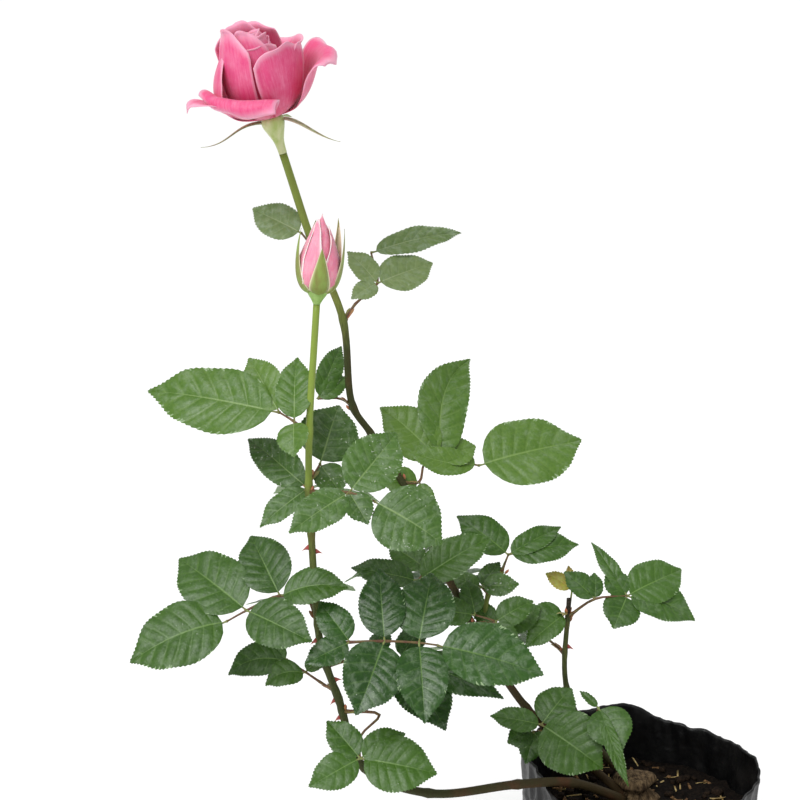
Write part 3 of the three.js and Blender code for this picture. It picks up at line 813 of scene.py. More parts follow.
    def build_chips(self) -> bpy.types.Object:
        """Makes the litter on the compost: slivers of bark, straw and small clods."""
        heap = Heap()
        box = np.array([[x, y, z] for x in (-1, 1) for y in (-1, 1) for z in (-1, 1)], float)
        sides = [[0, 1, 3, 2], [4, 6, 7, 5], [0, 4, 5, 1], [2, 3, 7, 6], [0, 2, 6, 4], [1, 5, 7, 3]]
        for k in range(self.chips):
            turn, share = 2 * math.pi * chance(k, 1, 11), math.sqrt(chance(k, 2, 12))
            radius = share * (self.radius(turn, 0.85) - 9)
            x, y = radius * math.cos(turn), radius * math.sin(turn)
            kind = sum(chance(k, 3, 13) >= limit for limit in (0.3, 0.62))
            shortest, more = ((4.5, 6), (2.5, 4), (1.6, 2.4))[kind]
            length = shortest + more * chance(k, 4, 14)
            width = (0.45, 1.1, 0.75 * length)[kind] * (0.7 + 0.6 * chance(k, 5, 15))
            thick = (0.3, 0.5, 0.5 * length)[kind]
            jitter = np.array([[chance(k, c, 20 + a) - 0.5 for a in range(3)] for c in range(8)])
            shape = (box + 0.45 * jitter) * (length / 1.3, width, thick)
            lay = Matrix.Rotation(2 * math.pi * chance(k, 6, 16), 3, "Z") @ Matrix.Rotation(
                0.5 * (chance(k, 7, 17) - 0.5), 3, "Y")
            shape = shape @ np.array(lay).T + (x, y, self.surface(x, y) + thick * 0.7)
            heap.add(shape, sides, [kind] * 6)
        finishes = [
            Crumbs("dry straw", "8E7648", "C9B482", 3.0, 0.7, 0.2, (1, 1, 3)).build(),
            Crumbs("bark sliver", "4B3421", "9C7B55", 2.0, 0.85, 0.4).build(),
            Crumbs("peat clod", "120C08", "33261B", 1.4).build(),
        ]
        return stands_for(heap.build("bark_and_straw", finishes), "potting_soil")


# ---------------------------------------------------------------- canes


@dataclass(frozen=True)
class Cane:
    """One cane: a walk from its start on the crown, with its prickles and its change of age."""

    name: str
    begin: Triple
    internodes: tuple[Triple, ...]
    radii: tuple[float, ...]  # at even steps from the foot to the tip
    prickles: tuple[Pair, ...]
    ages: tuple[Pair, ...]  # (share of the length, age of the bark)
    solids: tuple[str, ...]
    dead_end: float = 0.0  # the length of dried stub above the last live eye
    swell: float = 0.2  # how much thicker it is at a joint
    swell_reach: float = 2.6
    sides: int = 20
    parts: int = 12

    def joints(self) -> list[Vector]:
        """Gives the joints of the walk."""
        found = [Vector(self.begin)]
        for internode in self.internodes:
            found.append(found[-1] + reach(*internode))
        return found

    def line(self, parts: int) -> Line:
        """Gives the cane's middle line, with some steps to an internode."""
        return Line.rounded(self.joints(), parts)

    def radius(self, share: float) -> float:
        """Gives the cane's radius at a share of the way up."""
        return float(np.interp(share * (len(self.radii) - 1), range(len(self.radii)), self.radii))

    def eyes(self) -> list[float]:
        """Gives how far up the cane each of its joints is."""
        line = self.line(self.parts)
        return line.distances()[self.parts :: self.parts][:-1]

    def build(self, eyes: Sequence[Pair]) -> bpy.types.Object:
        """Makes the cane with its swollen joints, its eyes and its prickles.

        Args:
            eyes: The distance up the cane and the heading of each leaf that it carries.

        Returns:
            The piece.
        """
        line = self.line(self.parts)
        far, frames, last = line.distances(), line.frames(), len(line.points) - 1
        knots = [*self.eyes(), *(at for at, _ in eyes)]

        def place(u: float, w: float) -> Vector:
            """Places a corner of the cane's skin.

            Args:
                u: How far along the sheet it is, from 0 to 1.
                w: How far across the sheet it is, from -1 to 1.

            Returns:
                The place, in millimetres.
            """
            i = round(u * last)
            turn = math.pi * w
            knot = max([math.exp(-(((far[i] - at) / self.swell_reach) ** 2)) for at in knots],
                       default=0)
            ridge = noise.noise(Vector((2 * math.cos(turn), 2 * math.sin(turn), far[i] / 30)))
            radius = self.radius(i / last) * (1 + self.swell * knot + 0.045 * ridge)
            side, up = frames[i]
            return line.points[i] + radius * (math.cos(turn) * side + math.sin(turn) * up)

        shares, ages = zip(*self.ages)
        mesh = bmesh.new()
        skin = sheet(mesh, self.sides, last, place, {
            "age": lambda u, w: np.interp(far[round(u * last)] / far[-1], shares, ages)})
        live, stub = line.at(far[-1] - self.dead_end)[0].z, 3
        for face in {face for corner in skin for face in corner.link_faces}:
            if self.dead_end and face.calc_center_median().z / MM > live:
                face.material_index = stub
        bmesh.ops.remove_doubles(mesh, verts=mesh.verts, dist=WELD)
        ends = [edge for edge in mesh.edges if edge.is_boundary]
        caps = bmesh.ops.holes_fill(mesh, edges=ends, sides=0)["faces"]
        for cap in caps:
            cap.material_index = stub if self.dead_end else 0
        for at, heading in self.prickles:
            self.prickle(mesh, *line.at(at), self.radius(at / far[-1]), heading)
        for at, heading in eyes:
            self.eye(mesh, *line.at(at), heading)
        finishes = [
            Bark("rose cane skin", ((0.0, "839940"), (0.3, "757F3B"), (0.55, "3A411F"),
                                    (0.8, "362E18"), (1.0, "40321D")), "6A3324").build(),
            GreenPart("prickle horn", "A0363A", "7C2A2B", "C77B6A", 0.4, 1.5).build(),
            GreenPart("dormant eye", "9A4A3C", "7D8A45", "B96A52", 0.45, 1.2).build(),
            Crumbs("dead grey stub", "1E1B17", "4A4238", 1.2, 0.8, 0.3).build(),
        ]
        piece = finished(mesh, f"{self.name}_skin", finishes)
        return stands_for(piece, "canes", *self.solids)

    @staticmethod
    def prickle(mesh: bmesh.types.BMesh, point: Vector, along: Vector, radius: float,
                heading: float) -> None:
        """Adds one prickle: a flat horn with a long foot on the cane and a tip that hooks down.

        Args:
            mesh: The cane's mesh.
            point: The place on the cane's middle line.
            along: The cane's direction there.
            radius: The cane's radius there.
            heading: The way the prickle points.
        """
        out, side = square_to(along, heading)

        def place(u: float, w: float) -> Vector:
            """Places a corner of the prickle.

            Args:
                u: How far along the sheet it is, from 0 to 1.
                w: How far across the sheet it is, from -1 to 1.

            Returns:
                The place, in millimetres.
            """
            turn = math.pi * w
            thin = (1 - u) ** 1.3
            middle = point + out * (radius * 0.75 + 4.9 * u) - along * (2.2 * u**1.8)
            return middle + thin * (math.cos(turn) * 2.1 * along + math.sin(turn) * 0.8 * side)

        sheet(mesh, 10, 7, place, {"rim": lambda u, w: 0.7 * u}, slot=1)

    @staticmethod
    def eye(mesh: bmesh.types.BMesh, point: Vector, along: Vector, heading: float) -> None:
        """Adds the small pointed bud in the fork over a leaf's stalk.

        Args:
            mesh: The cane's mesh.
            point: The place on the cane's middle line.
            along: The cane's direction there.
            heading: The heading of the leaf.
        """
        out, side = square_to(along, heading)

        def place(u: float, w: float) -> Vector:
            """Places a corner of the eye.

            Args:
                u: How far along the sheet it is, from 0 to 1.
                w: How far across the sheet it is, from -1 to 1.

            Returns:
                The place, in millimetres.
            """
            turn, wide = math.pi * w, 1.25 * math.sin(math.pi * min(1.0, u * 0.93 + 0.06)) ** 0.8
            middle = point + out * (2.6 + 0.9 * u) + along * (0.4 + 4.2 * u)
            return middle + wide * (math.cos(turn) * side + 0.8 * math.sin(turn) * out)

        sheet(mesh, 8, 6, place, {"rim": lambda u, w: u}, slot=2)


CANES = {
    "flower": Cane(
        "flower_cane", (-8, -1, 150),
        ((47, 172, 40), (45, 168, 42), (55, 169, 56), (64, 180, 63), (58, -170, 66),
         (43, -170, 59), (22, -169, 58), (57, -164, 84), (51, -171, 69), (62, -158, 72)),
        (3, 2.1, 2.5), ((250, -20), (150, 70)),
        ((0, 1.0), (0.25, 0.8), (0.5, 0.66), (0.72, 0.6), (0.8, 0.35), (0.95, 0.2), (1, 0.1)),
        ("flower_cane_foot", "flower_cane")),
    "bud": Cane(
        "bud_cane", (-11, -8, 152),
        ((50, -149, 28), (41, -155, 10), (62, -160, 4), (47, -166, 28), (48, 168, 70),
         (34, 170, 72), (33, 163, 84), (42, 180, 87), (30, 180, 88), (35, 0, 89), (77, 10, 86)),
        (3.2, 2.3, 2.1),
        ((347, 10), (350, 190), (290, 200), (262, 10), (250, 200), (238, 185), (165, 80)),
        ((0, 0.9), (0.4, 0.62), (0.6, 0.5), (0.77, 0.42), (0.783, 0.08), (1, 0.0)),
        ("bud_cane_foot", "bud_cane")),
    "short": Cane(
        "pruned_cane", (3, 10, 150), ((45, 159, 41), (42, 157, 61), (65, 0, 90)),
        (3.2, 2, 1.6), ((118, -10), (70, 190)),
        ((0, 0.8), (0.5, 0.55), (0.9, 0.5), (1, 0.8)), ("pruned_cane",), dead_end=9.0),
    "side": Cane(
        "side_shoot", (-97, 17, 238), ((30, 150, 74), (20, 62, 77), (18, 24, 56)),
        (2, 1.5), (), ((0, 0.6), (0.5, 0.4), (1, 0.25)), ("side_shoot",)),
}


@dataclass
class RootCrown:
    """The root flare and the knuckle where the canes leave, from a flat cut at the soil."""

    radius: float = 17.0
    neck: float = 10.0
    height: float = 21.0
    middle: Triple = (-3.0, 2.0, 146.0)
    sides: int = 40
    rows: int = 40

    def build(self) -> bpy.types.Object:
        """Makes the crown, with the furrows of its bark."""
        r, n = self.radius, self.neck
        profile = ((0, 0), (0, r), (1.5, r * 0.98), (4, r * 0.8), (9, n), (14, r * 0.84),
                   (19, r * 0.68), (self.height, r * 0.22), (self.height + 0.3, 0))
        heights, radii = zip(*profile)

        def place(u: float, w: float) -> Vector:
            """Places a corner of the crown's bark.

            Args:
                u: How far along the sheet it is, from 0 to 1.
                w: How far across the sheet it is, from -1 to 1.

            Returns:
                The place, in millimetres.
            """
            turn, share = math.pi * w, u * (len(profile) - 1)
            height = float(np.interp(share, range(len(profile)), heights))
            radius = float(np.interp(share, range(len(profile)), radii))
            spot = Vector((1.6 * math.cos(turn), 1.6 * math.sin(turn), height / 9))
            gnarl = 1 + 0.12 * math.sin(3 * turn) + 0.16 * noise.noise(spot * 1.3)
            furrow = 0.06 * abs(noise.noise(spot * 5))
            out = radius * (gnarl - furrow)
            return Vector(self.middle) + Vector((out * math.cos(turn),
                                                 0.85 * out * math.sin(turn), height))

        mesh = bmesh.new()
        sheet(mesh, self.sides, self.rows, place)
        bark = Crumbs("flaking crown bark", "33271B", "8A7457", 2.6, 0.9, 1.4, (1, 1, 0.35)).build()
        return stands_for(finished(mesh, "crown_bark_skin", [bark]), "crown_bark", "root_crown")


# ---------------------------------------------------------------- leaves


@dataclass(frozen=True)
class Spray:
    """One compound leaf: where its stalk leaves the cane, its plane, its joints and leaflets."""

    name: str
    tone: Tone
    cane: str
    at: float
    stem: Triple
    face: Pair
    rachis: tuple[Pair, ...]
    leaflets: tuple[tuple[float, ...], ...]  # (joint, length, bearing, breadth, roll, bow)


def ruled(name: str, tone: Tone, cane: str, at: float, heading: float, droop: float,
          pairs: int, size: float) -> Spray:
    """Works a leaf out by the bush's own rule: pairs of leaflets and one at the end.

    Args:
        name: The leaf's name.
        tone: Its green.
        cane: The cane that carries it.
        at: How far up the cane it leaves.
        heading: The way it grows.
        droop: How far it hangs below level.
        pairs: The number of pairs.
        size: The length of the end leaflet.

    Returns:
        The leaf.
    """
    laterals, spread = (0.72, 0.88, 0.94)[-pairs:], 68
    leaflets = []
    for joint, share in enumerate(laterals):
        leaflets += [(joint, size * share, -90 + turn) for turn in (spread, -spread)]
    leaflets.append((pairs, size, -90))
    return Spray(name, tone, cane, at, (0.55 * size, heading, 25), (heading + 90, 90 - droop),
                 ((0.42 * size, -90),) * pairs, tuple(leaflets))


SPRAYS = (
    Spray("crest_leaf", Tone.DULL, "flower", 440, (14, -160, 52), (-15, 40), (),
          ((0, 40, 155, 0.62),)),
    Spray("upper_right_leaf", Tone.DULL, "flower", 389, (15, 40, 50), (25, 40),
          ((24, 35), (23, 85)),
          ((1, 24, -155, 0.6), (1, 29, 120, 0.7), (1, 45, 15, 0.62), (2, 70, 8, 0.27))),
    Spray("behind_bud_leaf", Tone.MIDDLE, "flower", 332, (10, 180, 40), (15, 40), ((16, 175),),
          ((1, 43, 60, 0.4), (1, 26, 34, 0.6))),
    Spray("upper_left_leaf", Tone.FRESH, "bud", 421, (14, -145, 42), (-20, 40), ((12, 155),),
          ((0, 44, 102, 0.54), (0, 24, -75, 0.9), (1, 46, 131, 0.55), (1, 91, 176, 0.48))),
    Spray("bud_node_leaf", Tone.SPECKLED, "bud", 390, (17, 65, 30), (10, 35), (),
          ((0, 24, -62, 0.9), (0, 41, 68, 0.95))),
    Spray("bud_right_leaf", Tone.SPECKLED, "bud", 385, (33, -40, 10), (10, 45), ((16, -25),),
          ((0, 52, 50), (0, 46, -147, 0.55), (0, 24, -68, 0.8), (1, 48, -40, 0.92))),
    Spray("bud_left_leaf", Tone.SPECKLED, "bud", 384, (6, 100, 15), (-25, 45), (),
          ((0, 60, 152, 0.4), (0, 38, -125, 0.5))),
    Spray("right_fork_leaf", Tone.FRESH, "flower", 272, (12, 20, -5), (15, 40),
          ((14, 65), (11, 15), (27, -15)),
          ((0, 26, 174, 0.8), (0, 23, -75, 0.5), (2, 81, 64, 0.44, 0, 0.12), (2, 53, 130),
           (2, 28, 15, 0.8), (3, 52, 160, 0.4, 0, 0.09), (3, 77, 10, 0.68))),
    Spray("low_left_leaf", Tone.MIDDLE, "bud", 314, (24, -160, 17), (-15, 50),
          ((22, -146), (13, -140)),
          ((0, 50, 126), (0, 43, 13, 0.6, 0, 0.08), (1, 62, 149), (1, 49, -20),
           (2, 64, -147, 0.68, 0, -0.05))),
    Spray("foot_left_leaf", Tone.MIDDLE, "bud", 254, (16, 130, 5), (-10, 45),
          ((12, 150), (15, 150)),
          ((1, 27, -155, 0.7, 0, -0.14), (1, 20, 50), (2, 39, -160, 0.6, 0, -0.12), (2, 22, 150))),
    Spray("middle_right_leaf", Tone.DEEP, "bud", 286, (31, -50, 20), (5, 45),
          ((21, 0), (21, -5), (11, -10)),
          ((0, 33, 122), (0, 31, -155), (1, 49, 90, 0.6), (1, 51, -113, 0.74), (2, 48, 77, 0.8),
           (2, 52, -90, 0.62), (3, 67, -19, 0.66))),
    Spray("middle_back_leaf", Tone.MIDDLE, "flower", 216, (25, -105, -5), (-5, 45), ((10, -125),),
          ((0, 33, 145), (1, 45, 170, 0.45), (1, 58, 35, 0.5))),
    Spray("fork_top_leaf", Tone.MIDDLE, "side", 67, (14, -20, 70), (10, 45), (),
          ((0, 44, 135), (0, 50, 5, 0.5), (0, 44, 25, 0.4))),
    Spray("fork_side_leaf", Tone.SPECKLED, "side", 50, (9, -145, 45), (0, 45), (),
          ((0, 23, 160), (0, 26, 5), (0, 23, 55), (0, 24, -130, 0.5))),
    Spray("fork_low_leaf", Tone.MIDDLE, "side", 32, (10, -35, -10), (0, 45), (),
          ((0, 33, 25, 0.72), (0, 26, 135))),
    Spray("pruned_left_leaf", Tone.MIDDLE, "short", 142, (4, -125, 10), (0, 45), (),
          ((0, 28, -160, 0.9), (0, 38, -138, 0.5))),
    Spray("pruned_right_leaf", Tone.MIDDLE, "short", 139, (25, -25, 40), (15, 45), ((23, 0),),
          ((0, 28, 128, 0.75), (0, 20, 78, 0.6), (1, 28, -125, 0.95), (1, 45, 110, 0.3),
           (1, 22, 120, 0.9), (1, 47, 20, 0.7), (1, 49, -28, 0.66, 0, 0.08))),
    Spray("low_right_leaf", Tone.MIDDLE, "short", 62, (43, -135, 15), (0, 45), (),
          ((0, 35, 170, 0.5), (0, 34, 50, 0.85), (0, 50, -38, 0.9))),
    Spray("rim_leaf", Tone.MIDDLE, "short", 49, (46, -88, 50), (0, 45), (),
          ((0, 33, -64, 0.95), (0, 17, 135, 0.4), (0, 57, -73, 0.2))),
    Spray("bottom_leaf", Tone.MIDDLE, "bud", 241, (26, -25, 5), (0, 45), ((18, -130), (14, -90)),
          ((2, 32, 131), (2, 32, 30), (2, 36, -150), (2, 48, -12, 0.76))),
    Spray("young_shoot", Tone.YOUNG, "short", 135, (24, 40, 80), (0, 30), (),
          ((0, 21, 150, 0.6), (0, 16, 98, 0.5), (0, 13, 35, 0.5), (0, 12, -20, 0.4))),
    Spray("under_middle_leaf", Tone.DEEP, "bud", 272, (30, 20, 5), (0, 50), ((18, -5),),
          ((0, 22, 60), (0, 26, -70), (1, 28, 60), (1, 57, -61, 0.62), (1, 70, -24, 0.36))),
    Spray("under_fork_leaf", Tone.MIDDLE, "flower", 161, (24, -50, 20), (0, 45), ((14, 160),),
          ((0, 30, 30), (0, 26, -60), (1, 26, 100), (1, 36, 175))),
    Spray("rim_left_leaf", Tone.MIDDLE, "flower", 66, (15, -165, 16), (0, 45), (),
          ((0, 20, -155, 0.9), (0, 22, -60), (0, 24, -105, 0.7))),
    ruled("far_leaf_1", Tone.MIDDLE, "flower", 120, 120, 20, 2, 42),
    ruled("far_leaf_2", Tone.DEEP, "flower", 172, 105, 10, 2, 44),
    ruled("far_leaf_3", Tone.MIDDLE, "flower", 196, 150, 25, 1, 46),
    ruled("far_leaf_4", Tone.MIDDLE, "flower", 262, 150, 20, 1, 46),
    ruled("far_leaf_5", Tone.MIDDLE, "short", 112, 140, 5, 1, 32),
    ruled("far_leaf_6", Tone.DEEP, "bud", 300, 110, 20, 1, 42),
    ruled("far_leaf_7", Tone.MIDDLE, "bud", 368, 75, 25, 1, 40),
)


@dataclass(frozen=True)
class Blade:
    """How a leaflet is cut and how it lies: a toothed oval, folded, arched and puckered."""

    breadth: float = 0.66
    end_breadth: float = 0.6
    thickness: float = 0.32
    stalk: float = 0.05  # of the length, bare before the blade opens
    tooth_spacing: float = 2.1
    tooth_depth: float = 0.6
    teeth_to_a_vein: int = 3
    fold: Pair = (8.0, 10.0)
    curl: Pair = (0.25, 0.3)
    sway: float = 8.0
    pucker: float = 0.0115  # of the length
    ripple: float = 0.018  # of the length, at the margin
    bend: float = 0.05  # of the length, to either side
    lead: float = 0.10  # of the length, by which the side veins run on towards the tip
    arch: float = 0.16  # how far the margins turn down
    fewest_teeth: int = 5
    most_teeth: int = 24
    columns: tuple[float, ...] = (0.0, 0.04, 0.12, 0.3, 0.5, 0.7, 0.86, 1.0)

    def grid(self, teeth: int) -> tuple[np.ndarray, list[list[int]], list[int]]:
        """Lays out a leaflet's points and faces, the upper sheet and the lower one.

        Args:
            teeth: The number of teeth on each side.

        Returns:
            The row and the column of each point, with the lower sheet's rows counted on from
            the upper one's, then the faces, and 0 or 1 for the sheet of each face.
        """
        wide = len(self.columns)
        columns = [-v for v in self.columns[:0:-1]] + list(self.columns)
        rows = 2 * teeth - 1
        spots: list[tuple[float, float, int]] = []
        number: dict[tuple[int, int, int], int] = {}
        for under in (0, 1):
            for row in range(1, rows + 1):
                for column, v in enumerate(columns):
                    edge = column in (0, 2 * wide - 2)
                    if under and edge:
                        number[1, row, column] = number[0, row, column]
                        continue
                    number[under, row, column] = len(spots)
                    spots.append((row, v, under))
        base, tip = len(spots), len(spots) + 1
        spots += [(0, 0.0, 0), (rows + 1, 0.0, 0)]
        faces, sheets = [], []
        for under in (0, 1):
            for column in range(len(columns) - 1):
                strip = [[number[under, 1, column], number[under, 1, column + 1], base]]
                for row in range(1, rows):
                    strip.append([number[under, row, column], number[under, row, column + 1],
                                  number[under, row + 1, column + 1],
                                  number[under, row + 1, column]])
                strip.append([tip, number[under, rows, column], number[under, rows, column + 1]])
                faces += [face if not under else face[::-1] for face in strip]
                sheets += [under] * len(strip)
        return np.array(spots), faces, sheets

    @staticmethod
    def outline(u: np.ndarray) -> np.ndarray:
        """Gives how wide a leaflet is, from 0 at its base and tip to 1 at its widest."""
        u = np.clip(u, 0, 1)
        end = np.clip((u - 0.7) / 0.3, 0, 1)
        drawn_out = 1 - 0.42 * end * end * (3 - 2 * end)
        return drawn_out * u**0.5 * (1 - u) ** 0.8 / 0.4206

    def add(self, heap: Heap, root: Vector, plane: "Plane", seed: Pair,
            spec: tuple[float, ...], tone: Tone) -> None:
        """Adds one leaflet to a heap.

        Args:
            heap: The heap.
            root: The joint that it grows from.
            plane: The plane of its leaf.
            seed: The leaf's number and its own.
            spec: Its joint, length, bearing, breadth, roll and bow.
            tone: Its green.
        """
        _, length, bearing, breadth, roll, bow = spec
        sway = roll + self.sway * (2 * chance(*seed, 1) - 1)
        fold = math.tan(math.radians(self.fold[0] + self.fold[1] * chance(*seed, 2)))
        curl = self.curl[0] + self.curl[1] * chance(*seed, 3)
        forward = plane.along(bearing)
        up = plane.normal.copy()
        up.rotate(Matrix.Rotation(math.radians(sway), 3, forward))
        across = up.cross(forward)
        teeth = round(length / self.tooth_spacing)
        teeth = int(min(self.most_teeth, max(self.fewest_teeth, teeth)))
        spots, faces, sheets = self.grid(teeth)
        row, v, under = spots[:, 0], spots[:, 1], spots[:, 2]
        side, run = np.abs(v), row / (2 * teeth)
        belly = np.sin(np.pi * run)
        span = 2 * self.teeth_to_a_vein
        phase = (row % span) / span
        drawn = np.interp(phase, (0, 1 / span, 0.5, 1 - 1 / span, 1), (0, 0.07, 0.5, 0.93, 1))
        shift = (drawn - phase) * span / (2 * teeth) * (1 - side**2)
        inner, outer = run - self.lead * belly + shift, run + self.lead * belly
        tooth = (side == 1) & (row > 0) & (row < 2 * teeth)
        sweep = np.where(tooth & (row % 2 == 0), 0.45 / (2 * teeth), 0.0)
        u = np.clip(inner + (outer - inner) * side**1.25 + sweep, 0, 1)
        half = length * breadth / 2
        width = self.outline(outer)
        lobe = half * width
        notch = np.where(tooth & (row % 2 == 1), self.tooth_depth, 0.0)
        y = v * np.maximum(lobe - notch, 0.6 * lobe)
        reach_out = self.stalk + (1 - self.stalk) * u
        x = length * np.sin(curl * reach_out) / math.sin(curl)
        z = length * (np.cos(curl * reach_out) - 1 + reach_out * (1 - math.cos(curl))) / curl
        z += np.abs(y) * fold - self.arch * y**2 / half
        quilt = np.sin(np.pi * phase) * 4 * side * (1 - side) ** 0.8 * belly**0.5
        z += self.pucker * length * quilt * (0.7 + 0.6 * chance(*seed, 5))
        wave = np.sin(2 * np.pi * (2.2 * u + chance(*seed, 6)) + np.sign(v))
        z += self.ripple * length * side**3 * belly * wave
        bend = self.bend * (2 * chance(*seed, 8) - 1)
        y += bend * length * u**2 * (1 - u) * 2 + 4 * bow * length * u * (1 - u)
        z -= np.where(under == 1, self.thickness * (1 - 0.4 * side), 0)
        axes = np.array([forward, across, up])
        points = np.array(root) + np.stack([x, y, z], 1) @ axes
        midrib = np.where(side == 0, 0.7 - 0.4 * u, 0.0)
        branch = np.where((row % span == 0) & (side < 0.9), 0.22 * (1 - side) ** 0.5, 0.0)
        vein = np.maximum(midrib, branch * (row > 0))
        chart = np.stack([u, 0.5 + 0.5 * v * width], 1)
        skins = [LEAF_SKINS.index(tone), LEAF_SKINS.index(Tone.UNDERSIDE)]
        heap.add(points, faces, [skins[s] for s in sheets], vein, chance(*seed, 9), chart, sheets)


@dataclass(frozen=True)
class Plane:
    """The plane of a compound leaf."""

    face: Pair

    @property
    def normal(self) -> Vector:
        """The way the upper surface looks."""
        t, e = (math.radians(angle) for angle in self.face)
        return Vector((math.sin(t) * math.cos(e), -math.cos(t) * math.cos(e), math.sin(e)))

    def along(self, bearing: float) -> Vector:
        """Gives the direction on the plane at a bearing from its level line."""
        t, b = math.radians(self.face[0]), math.radians(bearing)
        level = Vector((math.cos(t), math.sin(t), 0))
        return math.cos(b) * level + math.sin(b) * self.normal.cross(level)


@dataclass
class Foliage:
    """All the leaves: toothed blades joined by cane, and the stalks that carry them."""

    blade: Blade = field(default_factory=Blade)
    stalk_radii: Pair = (1.05, 0.55)
    petiolule_radii: Pair = (0.62, 0.5)
    stalk_sides: int = 7
    stipule_length: float = 10.0

    def tube(self, heap: Heap, joints: Sequence[Vector], radii: Pair, slot: int) -> None:
        """Adds a tapering stalk, with a pointed end, to a heap.

        Args:
            heap: The heap.
            joints: The joints that the stalk passes.
            radii: Its radius at the foot and at the end.
            slot: The number of its finish.
        """
        line = Line.rounded(joints, 4)
        n, last = self.stalk_sides, len(line.points) - 1
        rings = []
        for i, (point, (side, up)) in enumerate(zip(line.points, line.frames())):
            radius = radii[0] + (radii[1] - radii[0]) * i / last
            radius *= 1 + 0.55 * math.exp(-i * 1.2) + (0.18 if i % 4 == 0 else 0)
            for k in range(n):
                turn = 2 * math.pi * k / n
                rings.append(point + radius * (math.cos(turn) * side + math.sin(turn) * up))
        faces = []
        for i in range(last):
            for k in range(n):
                a, b = i * n + k, i * n + (k + 1) % n
                faces.append([a, b, b + n, a + n])
        faces += [list(range(n))[::-1], [last * n + k for k in range(n)]]
        heap.add(np.array(rings), faces, [slot] * len(faces))

    def grow(self, blades: dict[str, Heap], stalks: Heap) -> None:
        """Grows every leaf by the bush's rule.

        Args:
            blades: The heap of blades of each cane.
            stalks: The heap of stalks.
        """
        for number, spray in enumerate(SPRAYS):
            plane = Plane(spray.face)
            root, _ = CANES[spray.cane].line(3).at(spray.at)
            joints = [root, root + reach(*spray.stem)]
            for length, bearing in spray.rachis:
                joints.append(joints[-1] + plane.along(bearing) * length)
            young = spray.tone is Tone.YOUNG
            self.tube(stalks, joints, self.stalk_radii, len(LEAF_SKINS) + (1 if young else 0))
            self.stipules(stalks, number, joints)
            heap = blades[spray.cane]
            last = len(spray.leaflets) - 1
            for k, row in enumerate(spray.leaflets):
                joint, length, bearing = int(row[0]), row[1], row[2]
                at_end = joint == len(spray.rachis) and k == last
                usual = self.blade.end_breadth if at_end else self.blade.breadth
                breadth, roll, bow = (*row[3:], *(usual, 0.0, 0.0)[len(row) - 3 :])
                origin = joints[joint + 1]
                tip = origin + plane.along(bearing) * length * (self.blade.stalk + 0.03)
                self.tube(stalks, [origin, tip], self.petiolule_radii, len(LEAF_SKINS) + 1)
                self.blade.add(heap, origin, plane, (number, k),
                               (joint, length, bearing, breadth, roll, bow), spray.tone)

    def stipules(self, stalks: Heap, number: int, joints: Sequence[Vector]) -> None:
        """Adds the two wings at the foot of a leaf's stalk.

        Args:
            stalks: The heap of stalks.
            number: The leaf's number.
            joints: The joints of its stalk.
        """
        along = (joints[1] - joints[0]).normalized()
        side = along.cross(Vector((0, 0, 1))).normalized()
        up = side.cross(along)
        heading = math.degrees(math.atan2(along.y, along.x))
        plane = Plane((heading + 90, 90 - math.degrees(math.asin(max(-1, min(1, -along.z))))))
        start_at = joints[0] + along * 2.2 + up * 0.2
        small = Blade(tooth_spacing=3.0, thickness=0.25, pucker=0.0, tooth_depth=0.05)
        for k, turn in enumerate((-14, 14)):
            spec = (0, self.stipule_length, -90 + turn, 0.34, 0.0, 0.0)
            small.add(stalks, start_at, plane, (number, 40 + k), spec, Tone.STIPULE)

    def build(self) -> list[bpy.types.Object]:
        """Makes the pieces."""
        blades = {cane: Heap() for cane in CANES}
        stalks = Heap()
        self.grow(blades, stalks)
        skins = [tone.value.build() for tone in LEAF_SKINS]
        pieces = []
        for cane, heap in blades.items():
            names = [spray.name for spray in SPRAYS if spray.cane == cane]
            piece = heap.build(f"{CANES[cane].name}_leaf_blades", skins, mapped=True)
            pieces.append(stands_for(piece, "leaves", *names))
        skins += [
            GreenPart("red brown leaf stalk", "5E3A2B", "6C5A35", "5E3A2B", 0.5).build(),
            GreenPart("green leaf stalk", "7C8A4C", "6E6A3C", "7C8A4C", 0.5).build(),
        ]
        pieces.append(stands_for(stalks.build("leaf_stalks", skins), "leaves"))
        return pieces


# ---------------------------------------------------------------- bloom and bud


@dataclass
class FlowerFrame:
    """The frame of a flower on the tip of its cane."""

    cane: Cane

    def __post_init__(self) -> None:
        """Finds the axis, the right and the far side."""
        tip, before = self.cane.line(3).points[-1], self.cane.line(3).points[-2]
        self.axis = (tip - before).normalized()
        self.right = (Vector((1, 0, 0)) - self.axis.x * self.axis).normalized()
        self.far = self.axis.cross(self.right)
        self.origin = tip + 0.3 * self.axis

    def place(self, radius: float, azimuth: float, height: float) -> Vector:
        """Gives a place in the flower: azimuth 0 is to the right and -90 towards the front."""
        turn = math.radians(azimuth)
        return (self.origin + height * self.axis + radius * math.cos(turn) * self.right
                + radius * math.sin(turn) * self.far)


